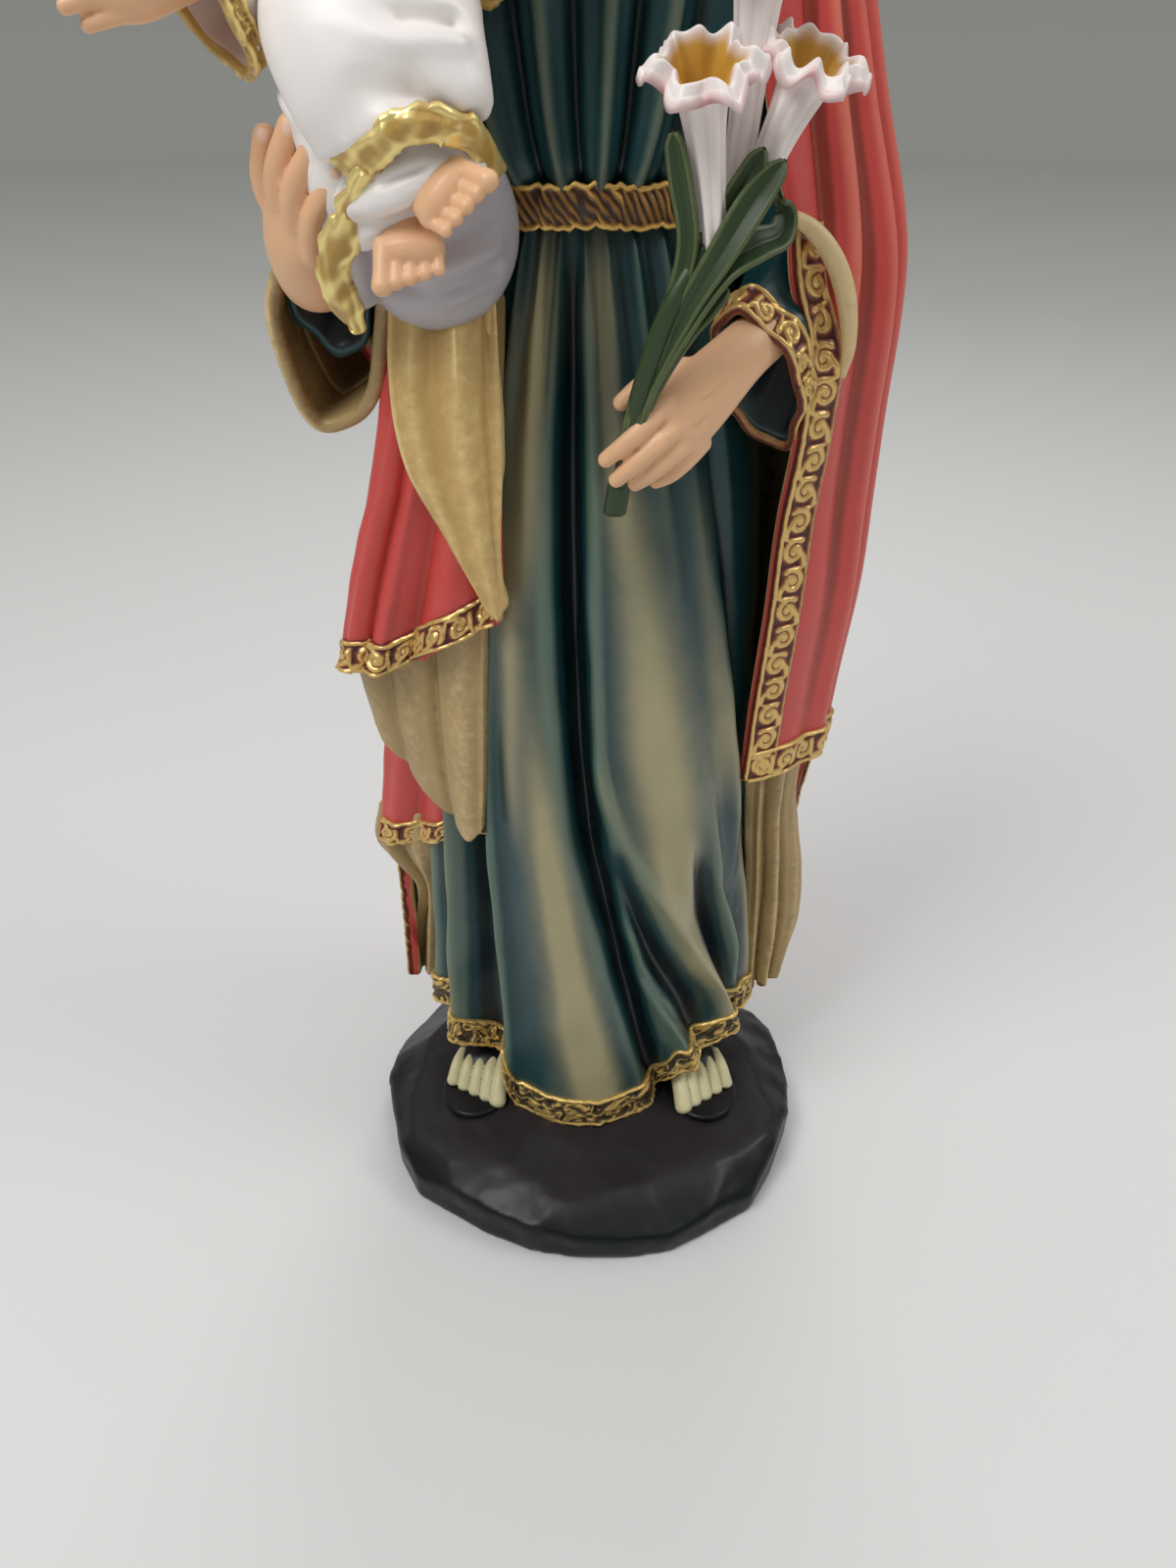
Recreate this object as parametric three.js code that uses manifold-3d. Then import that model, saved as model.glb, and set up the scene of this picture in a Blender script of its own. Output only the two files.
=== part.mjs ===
// A standing bearded man in a long belted robe and a mantle, with a small child on his right arm
// and a spray of lilies in his left hand. Figure, child, flowers and the rock under them are one casting.
// Millimetres, +Z up, the figure faces -Y, and the origin is on the floor under the middle of the rock.
import * as THREE from "three";
import { mergeVertices } from "three/addons/utils/BufferGeometryUtils.js";
import Module from "manifold-3d";

const statueHeight = 203; // floor to the crown of the man's head
const plinthWidth = 62;
const plinthDepth = 56;
const plinthEdge = 5; // height of the rock's upright side
const plinthTop = 8.5; // height of the ground under the figure
const plinthCorners = 14;
const seamTolerance = 0.12; // slivers thinner than this are closed up where forms run into each other

// The figure's own proportions: every form below is drawn at this height, on ground at this level.
const drawn = { height: 203, ground: 8.5 };
const figureScale = (statueHeight - plinthTop) / (drawn.height - drawn.ground);

const degree = Math.PI / 180;
const bell = (distance, width) => Math.exp(-((distance / width) ** 2));
const ramp = (from, to, value) => {
  const t = THREE.MathUtils.clamp((value - from) / (to - from), 0, 1);
  return t * t * (3 - 2 * t);
};
const mix = (a, b, t) => a + (b - a) * t;
const point = (x, y, z) => new THREE.Vector3(x, y, z);

// A smooth run through rows of numbers, each led by where it stands.
function along(rows) {
  return (at) => {
    const last = rows.length - 1;
    if (at <= rows[0][0]) return rows[0].slice(1);
    if (at >= rows[last][0]) return rows[last].slice(1);
    let i = 0;
    while (at > rows[i + 1][0]) i += 1;
    const [a, b] = [rows[i], rows[i + 1]];
    const [before, after] = [rows[Math.max(i - 1, 0)], rows[Math.min(i + 2, last)]];
    const span = b[0] - a[0];
    const t = (at - a[0]) / span;
    return a.slice(1).map((start, k) => {
      const end = b[k + 1];
      const leave = ((end - before[k + 1]) / (b[0] - before[0])) * span;
      const arrive = ((after[k + 1] - start) / (after[0] - a[0])) * span;
      const [t2, t3] = [t * t, t * t * t];
      return (
        (2 * t3 - 3 * t2 + 1) * start + (t3 - 2 * t2 + t) * leave +
        (3 * t2 - 2 * t3) * end + (t3 - t2) * arrive
      );
    });
  };
}
const evenly = (count, make) => Array.from({ length: count }, (_, i) => make(i / (count - 1), i));
const around = (count, make) =>
  Array.from({ length: count }, (_, i) => make((i / count) * 2 * Math.PI, i));

// A closed surface over rings of points. Each end runs to its tip, or is closed level where it has none.
function skin(rings, firstTip, lastTip) {
  const count = rings[0].length;
  const points = rings.flat();
  const faces = [];
  for (let i = 0; i < count; i += 1) {
    const j = (i + 1) % count;
    for (let r = 0; r < rings.length - 1; r += 1) {
      const [a, b] = [r * count + i, r * count + j];
      const [c, d] = [b + count, a + count];
      const straight = points[a].distanceTo(points[c]) < points[b].distanceTo(points[d]);
      faces.push(...(straight ? [[a, b, c], [a, c, d]] : [[a, b, d], [b, c, d]]));
    }
  }
  const close = (start, tip, facing) => {
    const end = tip ? points.push(tip) - 1 : 0;
    const ring = points.slice(start, start + count).map((p) => new THREE.Vector2(p.x, p.y));
    const level = () =>
      THREE.ShapeUtils.triangulateShape(ring, []).map((face) => face.map((i) => start + i));
    const cone = () => ring.map((_, i) => [end, start + ((i + 1) % count), start + i]);
    const turned = !tip && THREE.ShapeUtils.area(ring) > 0;
    const cap = tip ? cone() : level();
    faces.push(...cap.map((face) => (facing !== turned ? face : face.reverse())));
  };
  close(0, firstTip, true);
  close((rings.length - 1) * count, lastTip, false);
  let volume = 0;
  for (const [a, b, c] of faces) {
    volume += points[a].dot(point(0, 0, 0).crossVectors(points[b], points[c]));
  }
  if (volume < 0) faces.forEach((face) => face.reverse());
  const geometry = new THREE.BufferGeometry().setFromPoints(points);
  return geometry.setIndex(faces.flat());
}

// A limb, finger or stem: stations of x, y, z, half width and half height, one side held towards `side`.
// `round` is how far its ends bulge, as a share of its thickness there; below zero they are hollowed.
function tube(stations, side, count, steps, round = 0.8) {
  const run = along(stations.map((s, i) => [i, ...s]));
  const end = stations.length - 1;
  const held = point(...side);
  const rings = evenly(steps, (t) => {
    const [x, y, z, wide, high] = run(t * end);
    const [a, b] = [run(Math.max(t * end - 0.05, 0)), run(Math.min(t * end + 0.05, end))];
    const ahead = point(b[0] - a[0], b[1] - a[1], b[2] - a[2]).normalize();
    const across = held.clone().addScaledVector(ahead, -held.dot(ahead)).normalize();
    const up = point(0, 0, 0).crossVectors(ahead, across);
    return { at: point(x, y, z), ahead, across, up, wide, high };
  });
  const ring = ({ at, ahead, across, up, wide, high }, grow, shift) =>
    around(count, (turn) =>
      at.clone()
        .addScaledVector(ahead, shift)
        .addScaledVector(across, wide * grow * Math.cos(turn))
        .addScaledVector(up, high * grow * Math.sin(turn)));
  const reach = (s) => Math.min(s.wide, s.high) * round;
  const [tail, head] = [rings[0], rings.at(-1)];
  const closed = rings.map((s) => ring(s, 1, 0));
  if (round > 0) closed.push(ring(head, 0.7, 0.7 * reach(head)));
  const start = tail.at.clone().addScaledVector(tail.ahead, -reach(tail));
  return skin(closed, start, head.at.clone().addScaledVector(head.ahead, reach(head)));
}

// An egg shape that a function may push in or out, by its direction from the middle.
function egg(at, half, wide, high, push = () => 0) {
  const rings = Array.from({ length: high }, (_, r) => {
    const lift = ((r + 1) / (high + 1) - 0.5) * Math.PI;
    return around(wide, (even) => {
      const turn = even - 0.5 * Math.sin(even); // closer together on the front
      const out = point(
        Math.sin(turn) * Math.cos(lift), -Math.cos(turn) * Math.cos(lift), Math.sin(lift),
      );
      const grow = 1 + push(out);
      return point(out.x * half[0] * grow, out.y * half[1] * grow, out.z * half[2] * grow);
    });
  });
  const tip = (z) => point(0, 0, z * half[2] * (1 + push(point(0, 0, z))));
  return skin(rings, tip(-1), tip(1)).translate(...at);
}

// Folds of cloth. A fold runs along a path of bearings, in degrees from the front, and stands out
// or falls in.
const fold = (path, width, rise) => ({ path: along(path), width: along(width), rise: along(rise) });
const sumOfFolds = (folds, z, bearing) =>
  folds.reduce((sum, f) => {
    const away = ((bearing - f.path(z)[0] + 540) % 360) - 180;
    return sum + f.rise(z)[0] * bell(away, f.width(z)[0]);
  }, 0);

// Robe below the belt: height, centre x and y, half width, half depth to the front and to the back.
const beltHeight = 125.4;
const skirtForm = along([
  [9, 0.6, 5, 22.8, 14.6, 16], [24, 0.4, 5, 21.4, 15.4, 15.6], [47, 0.3, 5, 20.6, 16.2, 15],
  [65, 0.3, 4.6, 20.4, 16.4, 14.4], [95, 0.2, 4, 19.4, 15.6, 13], [112, 0, 3.6, 17, 13.6, 12],
  [125, 0, 3.4, 14, 11.6, 10.6],
]);
const skirtFolds = [
  // the broad panel that falls down the middle, and the hollows on its two sides
  fold(
    [[9, -4], [24, -4], [52, -15], [78, -20], [118, -17]], [[9, 18], [52, 12], [118, 8]],
    [[9, 2.6], [60, 2.2], [100, 1.2], [122, 0]],
  ),
  fold(
    [[9, -44], [60, -47], [120, -40]], [[9, 9], [120, 7]], [[9, -3], [60, -3.2], [100, -1], [120, 0]],
  ),
  fold(
    [[9, 28], [26, 19], [44, 8], [58, 0], [89, -6], [118, -5]], [[9, 6], [40, 6], [118, 4]],
    [[9, -2.6], [40, -3.8], [85, -3.6], [112, -1.6], [122, 0]],
  ),
  // the bent knee, and the cloth that is pulled away below it
  fold(
    [[40, 34], [56, 32], [64, 28], [84, 19], [105, 13]], [[40, 15], [84, 15], [105, 12]],
    [[24, 0], [42, 1], [58, 3.8], [84, 2.6], [108, 0.6], [118, 0]],
  ),
  fold(
    [[18, 62], [25, 55], [38, 36], [54, 16], [72, 2]], [[18, 8], [54, 6]],
    [[12, 0.6], [25, 2.2], [51, 1.8], [72, 0.2]],
  ),
  fold(
    [[14, 48], [25, 40], [37, 24], [58, 8]], [[14, 6], [58, 5]],
    [[12, -0.6], [24, -1.8], [44, -1.8], [60, 0]],
  ),
  fold([[14, 74], [33, 58], [60, 44]], [[14, 7], [60, 7]], [[12, -1.4], [33, -2], [60, 0]]),
  fold([[14, 90], [33, 76], [70, 56]], [[14, 9], [70, 8]], [[12, 1.2], [33, 1.4], [70, 0.6], [84, 0]]),
  fold([[9, -62], [60, -60]], [[9, 8], [60, 7]], [[9, 1.4], [60, 1.2], [90, 0]]),
];
// Bearings of the points on a ring: close together where the folds are, on the front.
const frontBearings = evenly(38, (t) => mix(-72, 98, t));
const bearings = [
  ...frontBearings,
  ...evenly(14, (t) => mix(111, 276, t)).map((b) => (b > 180 ? b - 360 : b)),
];
const gathers = { rise: 0.7, count: 14, shift: 0.8, low: 98, high: 122 }; // small pleats under the belt
const onFront = (bearing, full, none) => ramp(none, full, Math.abs(bearing));
const pleats = (z, bearing) =>
  gathers.rise * ramp(gathers.low, gathers.high, z) * onFront(bearing, 70, 100) *
  Math.sin(bearing * degree * gathers.count + gathers.shift);
function skirtPoint(z, bearing) {
  const [cx, cy, wide, front, back] = skirtForm(z);
  const turn = bearing * degree;
  const out = sumOfFolds(skirtFolds, z, bearing) + pleats(z, bearing);
  const deep = Math.cos(turn) > 0 ? front : back;
  return point(cx + (wide + out) * Math.sin(turn), cy - (deep + out) * Math.cos(turn), z);
}
// The hem hangs lowest in front and is lifted over each foot.
const hemFront = 9.8;
const hemHeight = (bearing) =>
  hemFront +
  ramp(-27, -34, bearing) * (5 + 7 * ramp(-40, -72, bearing)) * ramp(-130, -88, bearing) +
  ramp(23, 34, bearing) * (5.5 + 4.5 * ramp(34, 68, bearing)) * ramp(130, 92, bearing);
const signed = (turn) => (turn > Math.PI ? turn - 2 * Math.PI : turn) / degree;

// Shares of the way up from hem to belt, closer together below the knee.
const skirtLevels = [...evenly(9, (t) => 0.4 * t), ...evenly(6, (t) => mix(0.5, 1, t))];
const footing = { low: 7, high: 26, share: 0.8 }; // solid inside the hem that joins the robe to the rock
function skirt() {
  const rings = skirtLevels.map((t) =>
    bearings.map((bearing) => skirtPoint(mix(hemHeight(bearing), beltHeight, t), bearing)));
  const shrunk = (p, z) => p.sub(point(0, 5, z)).multiplyScalar(footing.share).add(point(0, 5.5, z));
  const core = [footing.low, footing.high].map((z) =>
    around(12, (turn) => shrunk(skirtPoint(z, signed(turn)), z)));
  return [skin(rings, point(0, 4, 16)), skin(core)];
}

// Robe above the belt, bloused over it, up to the neckline.
const chestForm = along([
  [124, 0, 3.4, 14.2, 11.8, 10.6], [128, 0, 3.4, 16.2, 13.6, 11], [134, 0, 3.6, 18, 14.4, 11.4],
  [146, 0, 3.8, 20, 14, 11.6],
  [156, 0, 4, 20, 12.4, 11], [162, 0, 4, 16.6, 10, 9.6], [166.5, 0, 3.6, 9.5, 7.4, 8],
  [168.5, 0, 3.2, 7, 6.2, 6.6],
]);
// Pleats of the bodice: how far they stand out, how many there are, and the heights they fade between.
const bodice = { rise: 0.8, count: 13, uneven: 0.6, belt: 125, bloused: 129, full: 150, top: 164 };
function chestPoint(z, bearing) {
  const [cx, cy, wide, front, back] = chestForm(z);
  const turn = bearing * degree;
  const fading = ramp(bodice.top, bodice.full, z) * ramp(bodice.belt, bodice.bloused, z);
  const wave = Math.sin(turn * bodice.count + bodice.uneven * Math.sin(turn * 4));
  const out = bodice.rise * fading * wave * onFront(bearing, 80, 110);
  const deep = Math.cos(turn) > 0 ? front : back;
  return point(cx + (wide + out) * Math.sin(turn), cy - (deep + out) * Math.cos(turn), z);
}
function chest() {
  const heights = [124, 126.5, 130, 138, 147, 156, 162, 166.5, 168.5];
  return skin(heights.map((z) => bearings.map((bearing) => chestPoint(z, bearing))));
}
function belt() {
  const half = 2; // half the belt's height
  const profile = [[-half, -1], [-half, 0.9], [0, 1.15], [half, 0.9], [half, -1]];
  return skin(profile.map(([above, out]) =>
    around(24, (turn) => {
      const [cx, cy, wide, front, back] = skirtForm(beltHeight);
      const deep = Math.cos(turn) > 0 ? front : back;
      const sag = -0.8 * Math.max(Math.cos(turn), 0) ** 2;
      const z = beltHeight + above + sag;
      return point(cx + (wide + out) * Math.sin(turn), cy - (deep + out) * Math.cos(turn), z);
    })));
}

// Mantle: height, half width on the viewer's right and left, half depth front and back, and the
// bearings of its two edges.
const mantleCentre = 6;
const mantleCloth = { edge: 1.8, middle: 9.8 }; // thickness at its edges and over the body
const mantleForm = along([
  [62, 30.6, 26, 15, 20, 40, 68], [72, 31.2, 27, 15.6, 19.6, 40, 68], [84, 32, 25.5, 17.4, 19, 40, 68],
  [95, 32, 22.5, 18.6, 18.4, 40, 70],
  [105, 32, 22, 20.4, 17.6, 41, 72], [113, 32.2, 26, 20, 17, 39, 72],
  [119.6, 32, 28.6, 18, 16.4, 33, 62], [125, 31, 29.4, 18, 16, 34, 52],
  [134, 28.4, 28.6, 18.4, 15, 36, 42], [145, 25.6, 26, 18.6, 14, 36, 38],
  [156, 22.6, 22.6, 17, 12.6, 32, 36], [162, 17.6, 17.6, 14.4, 11.4, 30, 34],
  [167, 9.6, 9.6, 11, 9.6, 36, 40], [170, 7.4, 7.4, 9.4, 8.8, 46, 48],
]);
const mantleFolds = [
  fold([[62, 62], [170, 60]], [[62, 7], [170, 6]], [[62, -0.6], [120, -0.8], [170, 0]]),
  fold(
    [[62, 96], [125, 78], [165, 70]], [[62, 9], [165, 7]],
    [[62, 0.6], [120, 1.2], [150, 0.8], [165, 0]],
  ),
  fold([[16, 118], [165, 110]], [[16, 8], [165, 7]], [[16, -1.6], [120, -1], [165, 0]]),
  fold([[16, 138], [165, 132]], [[16, 9], [165, 8]], [[16, 1.6], [130, 0.8], [165, 0]]),
  fold([[16, 158], [165, 156]], [[16, 7], [165, 6]], [[16, -2], [130, -1], [165, 0]]),
  fold([[16, 178], [165, 182]], [[16, 9], [165, 8]], [[16, 1.8], [130, 0.9], [165, 0]]),
  fold([[16, 200], [165, 206]], [[16, 7], [165, 6]], [[16, -2.2], [130, -1], [165, 0]]),
  fold([[16, 220], [165, 230]], [[16, 9], [165, 8]], [[16, 1.4], [130, 0.8], [165, 0]]),
  fold([[16, 240], [165, 250]], [[16, 7], [165, 6]], [[16, -1.8], [130, -0.8], [165, 0]]),
];
function mantlePoint(form, z, bearing, inset) {
  const [right, left, front, back] = form;
  const turn = bearing * degree;
  const wide = Math.sin(turn) > 0 ? right : left;
  const deep = Math.cos(turn) > 0 ? front : back;
  const out = sumOfFolds(mantleFolds, z, bearing) - inset;
  return point((wide + out) * Math.sin(turn), mantleCentre - (deep + out) * Math.cos(turn), z);
}
// A ring that runs round the outside from one edge to the other, and back inside the cloth's thickness.
// The back's points keep their bearings, so that its folds run through; the sides take up the rest.
const backBearings = evenly(17, (t) => mix(98, 258, t));
function mantleRing(form, z, inside) {
  const [first, last] = [form[4], 360 - form[5]];
  const side = (from, to) => evenly(8, (t) => mix(from, to, t));
  const outside = [...side(first, 98).slice(0, -1), ...backBearings, ...side(258, last).slice(1)];
  const outer = outside.map((bearing) => mantlePoint(form, z, bearing, 0));
  const inner = evenly(inside, (t) => {
    const deeper = mix(mantleCloth.edge, mantleCloth.middle, Math.min(ramp(0, 0.12, t), ramp(1, 0.88, t)));
    return mantlePoint(form, z, mix(last, first, t), deeper);
  });
  return [...outer, ...inner];
}
const cornerFall = 12; // how far the hem falls away behind the front corner
function mantle() {
  const heights = [62, 72, 84, 95, 105, 113, 119.6, 125, 134, 145, 156, 162, 167, 170];
  const rings = heights.map((z) => mantleRing(mantleForm(z), z, 6));
  for (const p of rings[0]) p.z -= cornerFall * ramp(12, -4, mantleCentre - p.y);
  return skin(rings);
}
// The back of the mantle below the front corner, down to its hem.
const trainForm = along([
  [17, 29.4, 28.6, 12, 22, 84, 84], [30, 30.6, 27.6, 12, 21.6, 84, 84], [40, 30.4, 27, 12, 21, 84, 84],
  [54, 29, 27, 12, 20.6, 84, 80], [70, 29.6, 26, 12, 20, 84, 76],
]);
const trainHem = 17;
const trainDepth = 10.5; // it reaches in as far as the robe
function train() {
  return skin([trainHem, 30, 42, 54, 70].map((z) => {
    const form = trainForm(z);
    const [first, last] = [form[4], 360 - form[5]];
    const outer = [first, 91, ...backBearings, 267, last].map((bearing) => {
      const ragged = 1.3 * Math.sin(bearing * degree * 9) + 4 * bell(bearing - first, 9);
      const lift = z < trainHem + 1 ? ragged : 0;
      return mantlePoint(form, z + lift, bearing, 0);
    });
    const inner = evenly(4, (t) => mantlePoint(form, z, mix(last, first, t), trainDepth));
    return [...outer, ...inner];
  }));
}

// A hanging end of cloth: rows of height, then left x and y, right x and y, of its front. Waves run
// across it, each with its place, width and rise.
function drape(rows, waves, swell, thick, count, steps, slant = () => 0) {
  const run = along(rows);
  const [low, high] = [rows[0][0], rows.at(-1)[0]];
  return skin(evenly(steps, (t) => {
    const z = mix(low, high, t);
    const [x0, y0, x1, y1] = run(z);
    const across = point(x1 - x0, y1 - y0, 0);
    const out = point(across.y, -across.x, 0).normalize();
    const at = (s, back) => {
      const bow = Math.sin(Math.PI * s) * swell;
      const wave = waves.reduce((sum, [place, width, rise]) => sum + rise * bell(s - place, width), 0);
      const p = point(x0 + across.x * s, y0 + across.y * s, z + slant(s) * (1 - t));
      return p.addScaledVector(out, back ? -thick : bow + wave);
    };
    return [...evenly(count, (s) => at(s, false)), ...evenly(4, (s) => at(0.96 - 0.92 * s, true))];
  }));
}
function cascade() {
  const upper = drape(
    [
      [80, -28.3, -6, -9.6, -12], [90, -25.4, -6.4, -9.6, -12], [100, -22.6, -7, -9.8, -11.4],
      [115, -19.8, -8, -9.8, -10],
    ],
    [[0.22, 0.1, 1.6], [0.42, 0.08, -1.4], [0.62, 0.12, 1.4], [0.85, 0.08, -1]], 1.2, 12, 14, 6,
    (s) => -2 + 8 * s - 2.4 * Math.sin(s * 9));
  const liningUpper = drape(
    [[62, -23.6, -2, -12.6, -9], [70, -26, -1.6, -11.6, -9.6], [84, -25.4, -3, -11, -9.6]],
    [[0.2, 0.12, 1.6], [0.42, 0.06, -1.8], [0.7, 0.18, 1.6]], 0.6, 11, 13, 5,
    (s) => 3 - 9 * s);
  const lower = drape(
    [[50, -27.8, 3, -15, -3], [62, -25, 2, -16, -4], [72, -22, 1, -15, -4]],
    [[0.3, 0.14, 1.2], [0.6, 0.1, -0.8]], 0.4, 8, 9, 4, (s) => -2 + 4 * s);
  const liningLower = drape(
    [[24, -26, 7, -19.4, 2], [38, -24.4, 6, -19.6, 1], [47, -28, 4, -19, 0], [52, -27, 4, -18, 0]],
    [[0.3, 0.16, 1.4], [0.62, 0.1, -1.2]], 0.3, 7, 9, 5, (s) => 0.5 - 3 * Math.sin(s * 3));
  return [upper, liningUpper, lower, liningLower];
}
// The turned-over end that hangs under the child to a point.
function pendant() {
  return drape(
    [
      [88, -10.6, -13.6, -9, -14], [92, -12.6, -14, -8.6, -14.4], [98, -15.8, -14, -8.4, -14.8],
      [106, -18.2, -13.6, -8.2, -14.8], [118, -18, -12, -8.4, -13],
    ],
    [[0.3, 0.14, -0.8], [0.62, 0.16, 0.8]], 0.8, 3, 9, 8);
}

// Sleeves. The mantle's own loop hangs under the man's right forearm, with the robe's sleeve inside it.
function sleeves() {
  const rightSleeve = tube(
    [
      [-13, 4, 156, 6, 6], [-19.6, 4.4, 143, 5.4, 6], [-23.2, 3.4, 128, 4.4, 6.4],
      [-24.2, -1, 119.6, 4.2, 8.4], [-24.6, -8.4, 117.4, 4, 7.6],
    ],
    [-1, 0.1, 0], 12, 6, -0.5);
  const loop = tube(
    [
      [-24, 12, 121, 6, 11], [-25, 4, 118.4, 6, 13], [-25.2, -7.4, 116, 5.4, 11.4],
    ], [-1, 0, 0.12], 16, 4, -0.9);
  const leftSleeve = tube(
    [
      [12, 4, 155, 6, 6], [18, 5, 143, 6, 6], [22.6, 4, 127, 5, 7], [20.6, -4, 115.6, 4.4, 8.2],
      [16.6, -11, 110.4, 4.2, 8.2],
    ],
    [0.8, -0.6, 0], 12, 7, -0.7);
  return [rightSleeve, loop, leftSleeve];
}

// A finger narrows by a share at each joint.
const finger = (stations, radius) => {
  const narrowing = 0.12;
  const joints = stations.map((s, i) => [...s, ...Array(2).fill(radius * (1 - narrowing * i))]);
  return tube(joints, [0, 0, 1], 5, 3, 0.7);
};
function hands() {
  const left = [
    tube(
      [
        [18, -10, 115.4, 2.6, 2.6], [14.4, -14.6, 113.6, 2.8, 2.3], [10.6, -17.4, 110.4, 3.5, 1.9],
        [8, -18.6, 107.6, 3.4, 1.7],
      ],
      [0.5, 0.2, -0.8], 8, 4,
    ),
    finger([[7.6, -18.9, 109.4], [4.8, -20.6, 107.6], [2, -20.4, 105.4]], 1.05),
    finger([[8.4, -18.8, 107.6], [5, -20.4, 105.4], [2.4, -20, 103.3]], 1.1),
    finger([[9.4, -18.2, 106.2], [6.6, -19.8, 104.2], [4.4, -19.4, 102.7]], 1.05),
    finger([[10.4, -17.2, 105.2], [8.2, -18.7, 103.6], [6.4, -18.4, 102.7]], 0.95),
    finger([[9, -17, 112.4], [5, -17.6, 112.4], [1.4, -18, 111]], 1.15),
  ];
  const right = [
    tube(
      [
        [-26, -4, 118.6, 3.2, 3], [-26, -9.6, 119.6, 3.2, 3], [-26.2, -13, 122.4, 3.6, 2.6],
        [-26, -14.4, 125, 3.6, 2],
      ],
      [0.7, -0.6, -0.4], 8, 4,
    ),
    finger([[-27.8, -12.6, 126], [-28, -13.6, 129.4], [-26.4, -14.6, 132.6]], 1.2),
    finger([[-26.8, -14.2, 125.4], [-26.6, -16, 129], [-24.6, -17, 131.9]], 1.25),
    finger([[-25.6, -15.4, 124.2], [-25, -17.6, 127.6], [-22.8, -18.6, 130]], 1.25),
    finger([[-24.4, -16, 122.6], [-23.4, -18.4, 125.6], [-21.4, -19.2, 128]], 1.15),
  ];
  return [...left, ...right];
}

// Lilies: one stem through the hand, narrow leaves, and trumpets with flared and waved rims.
function lilies() {
  const stem = tube(
    [
      [2.6, -17.6, 99.3, 1.3, 1.3], [3.6, -19, 104, 1, 1], [4.6, -20.8, 111, 0.9, 0.9],
      [7, -21.8, 118.6, 0.9, 0.9], [10.4, -20.8, 124, 0.9, 0.9],
    ],
    [1, 0, 0], 5, 5, 0);
  const leafFace = [0.85, -0.2, -0.5];
  const leaf = (stations) => tube(stations, leafFace, 5, 5, 0);
  const leaves = [
    leaf([
      [4.2, -21.4, 109.6, 0.7, 0.6], [7, -22.4, 119, 0.8, 0.6], [8.4, -21.6, 125, 0.9, 0.6],
      [6.8, -20, 131.5, 0.4, 0.5],
    ]),
    leaf([
      [5, -22.2, 112, 0.8, 0.7], [9, -23.6, 120.6, 1.4, 0.7], [12, -22.8, 126, 1.5, 0.7],
      [14.3, -21, 130.8, 0.5, 0.5],
    ]),
    leaf([[6.4, -22, 116, 0.8, 0.7], [11.6, -22.4, 123, 1.4, 0.7], [15.8, -20, 129, 0.6, 0.5]]),
    leaf([
      [6, -21.8, 113.6, 0.9, 0.8], [11, -22, 120.4, 1.7, 0.8], [15, -19.4, 123.8, 1.6, 0.8],
      [16.6, -16.6, 124, 0.8, 0.6],
    ]),
    leaf([[5, -21.4, 110, 0.7, 0.7], [8.6, -21, 114.8, 1.2, 0.7], [12.2, -18.8, 118.4, 0.9, 0.6]]),
  ];
  const trumpet = (from, to, rim) => {
    const [start, finish] = [point(...from), point(...to)];
    const axis = finish.clone().sub(start).normalize();
    const across = point(1, 0, 0).addScaledVector(axis, -axis.x).normalize();
    const up = point(0, 0, 0).crossVectors(axis, across);
    const ring = (t, radius, wave) => around(12, (turn, i) => {
      const lobe = i % 2 === 0 ? 0.7 : -0.7;
      const reach = radius + wave * lobe;
      return start.clone().lerp(finish, t)
        .addScaledVector(across, reach * Math.cos(turn))
        .addScaledVector(up, reach * Math.sin(turn))
        .addScaledVector(axis, -wave * lobe * 0.7);
    });
    const rings = [
      ring(0, 1, 0), ring(0.5, rim * 0.44, 0), ring(0.84, rim * 0.66, 0.2), ring(1, rim, 0.8),
    ];
    return skin(rings, start, start.clone().lerp(finish, 0.72));
  };
  const rimRadius = 4.7;
  const flowers = [
    trumpet([10.6, -20.6, 121.6], [8.6, -22.4, 138.4], rimRadius),
    trumpet([11.6, -19.6, 122.6], [17.8, -17, 138.4], rimRadius),
    trumpet([11.6, -18.4, 122.6], [13.4, -16.6, 149], rimRadius),
  ];
  return [stem, ...leaves, ...flowers];
}

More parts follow.
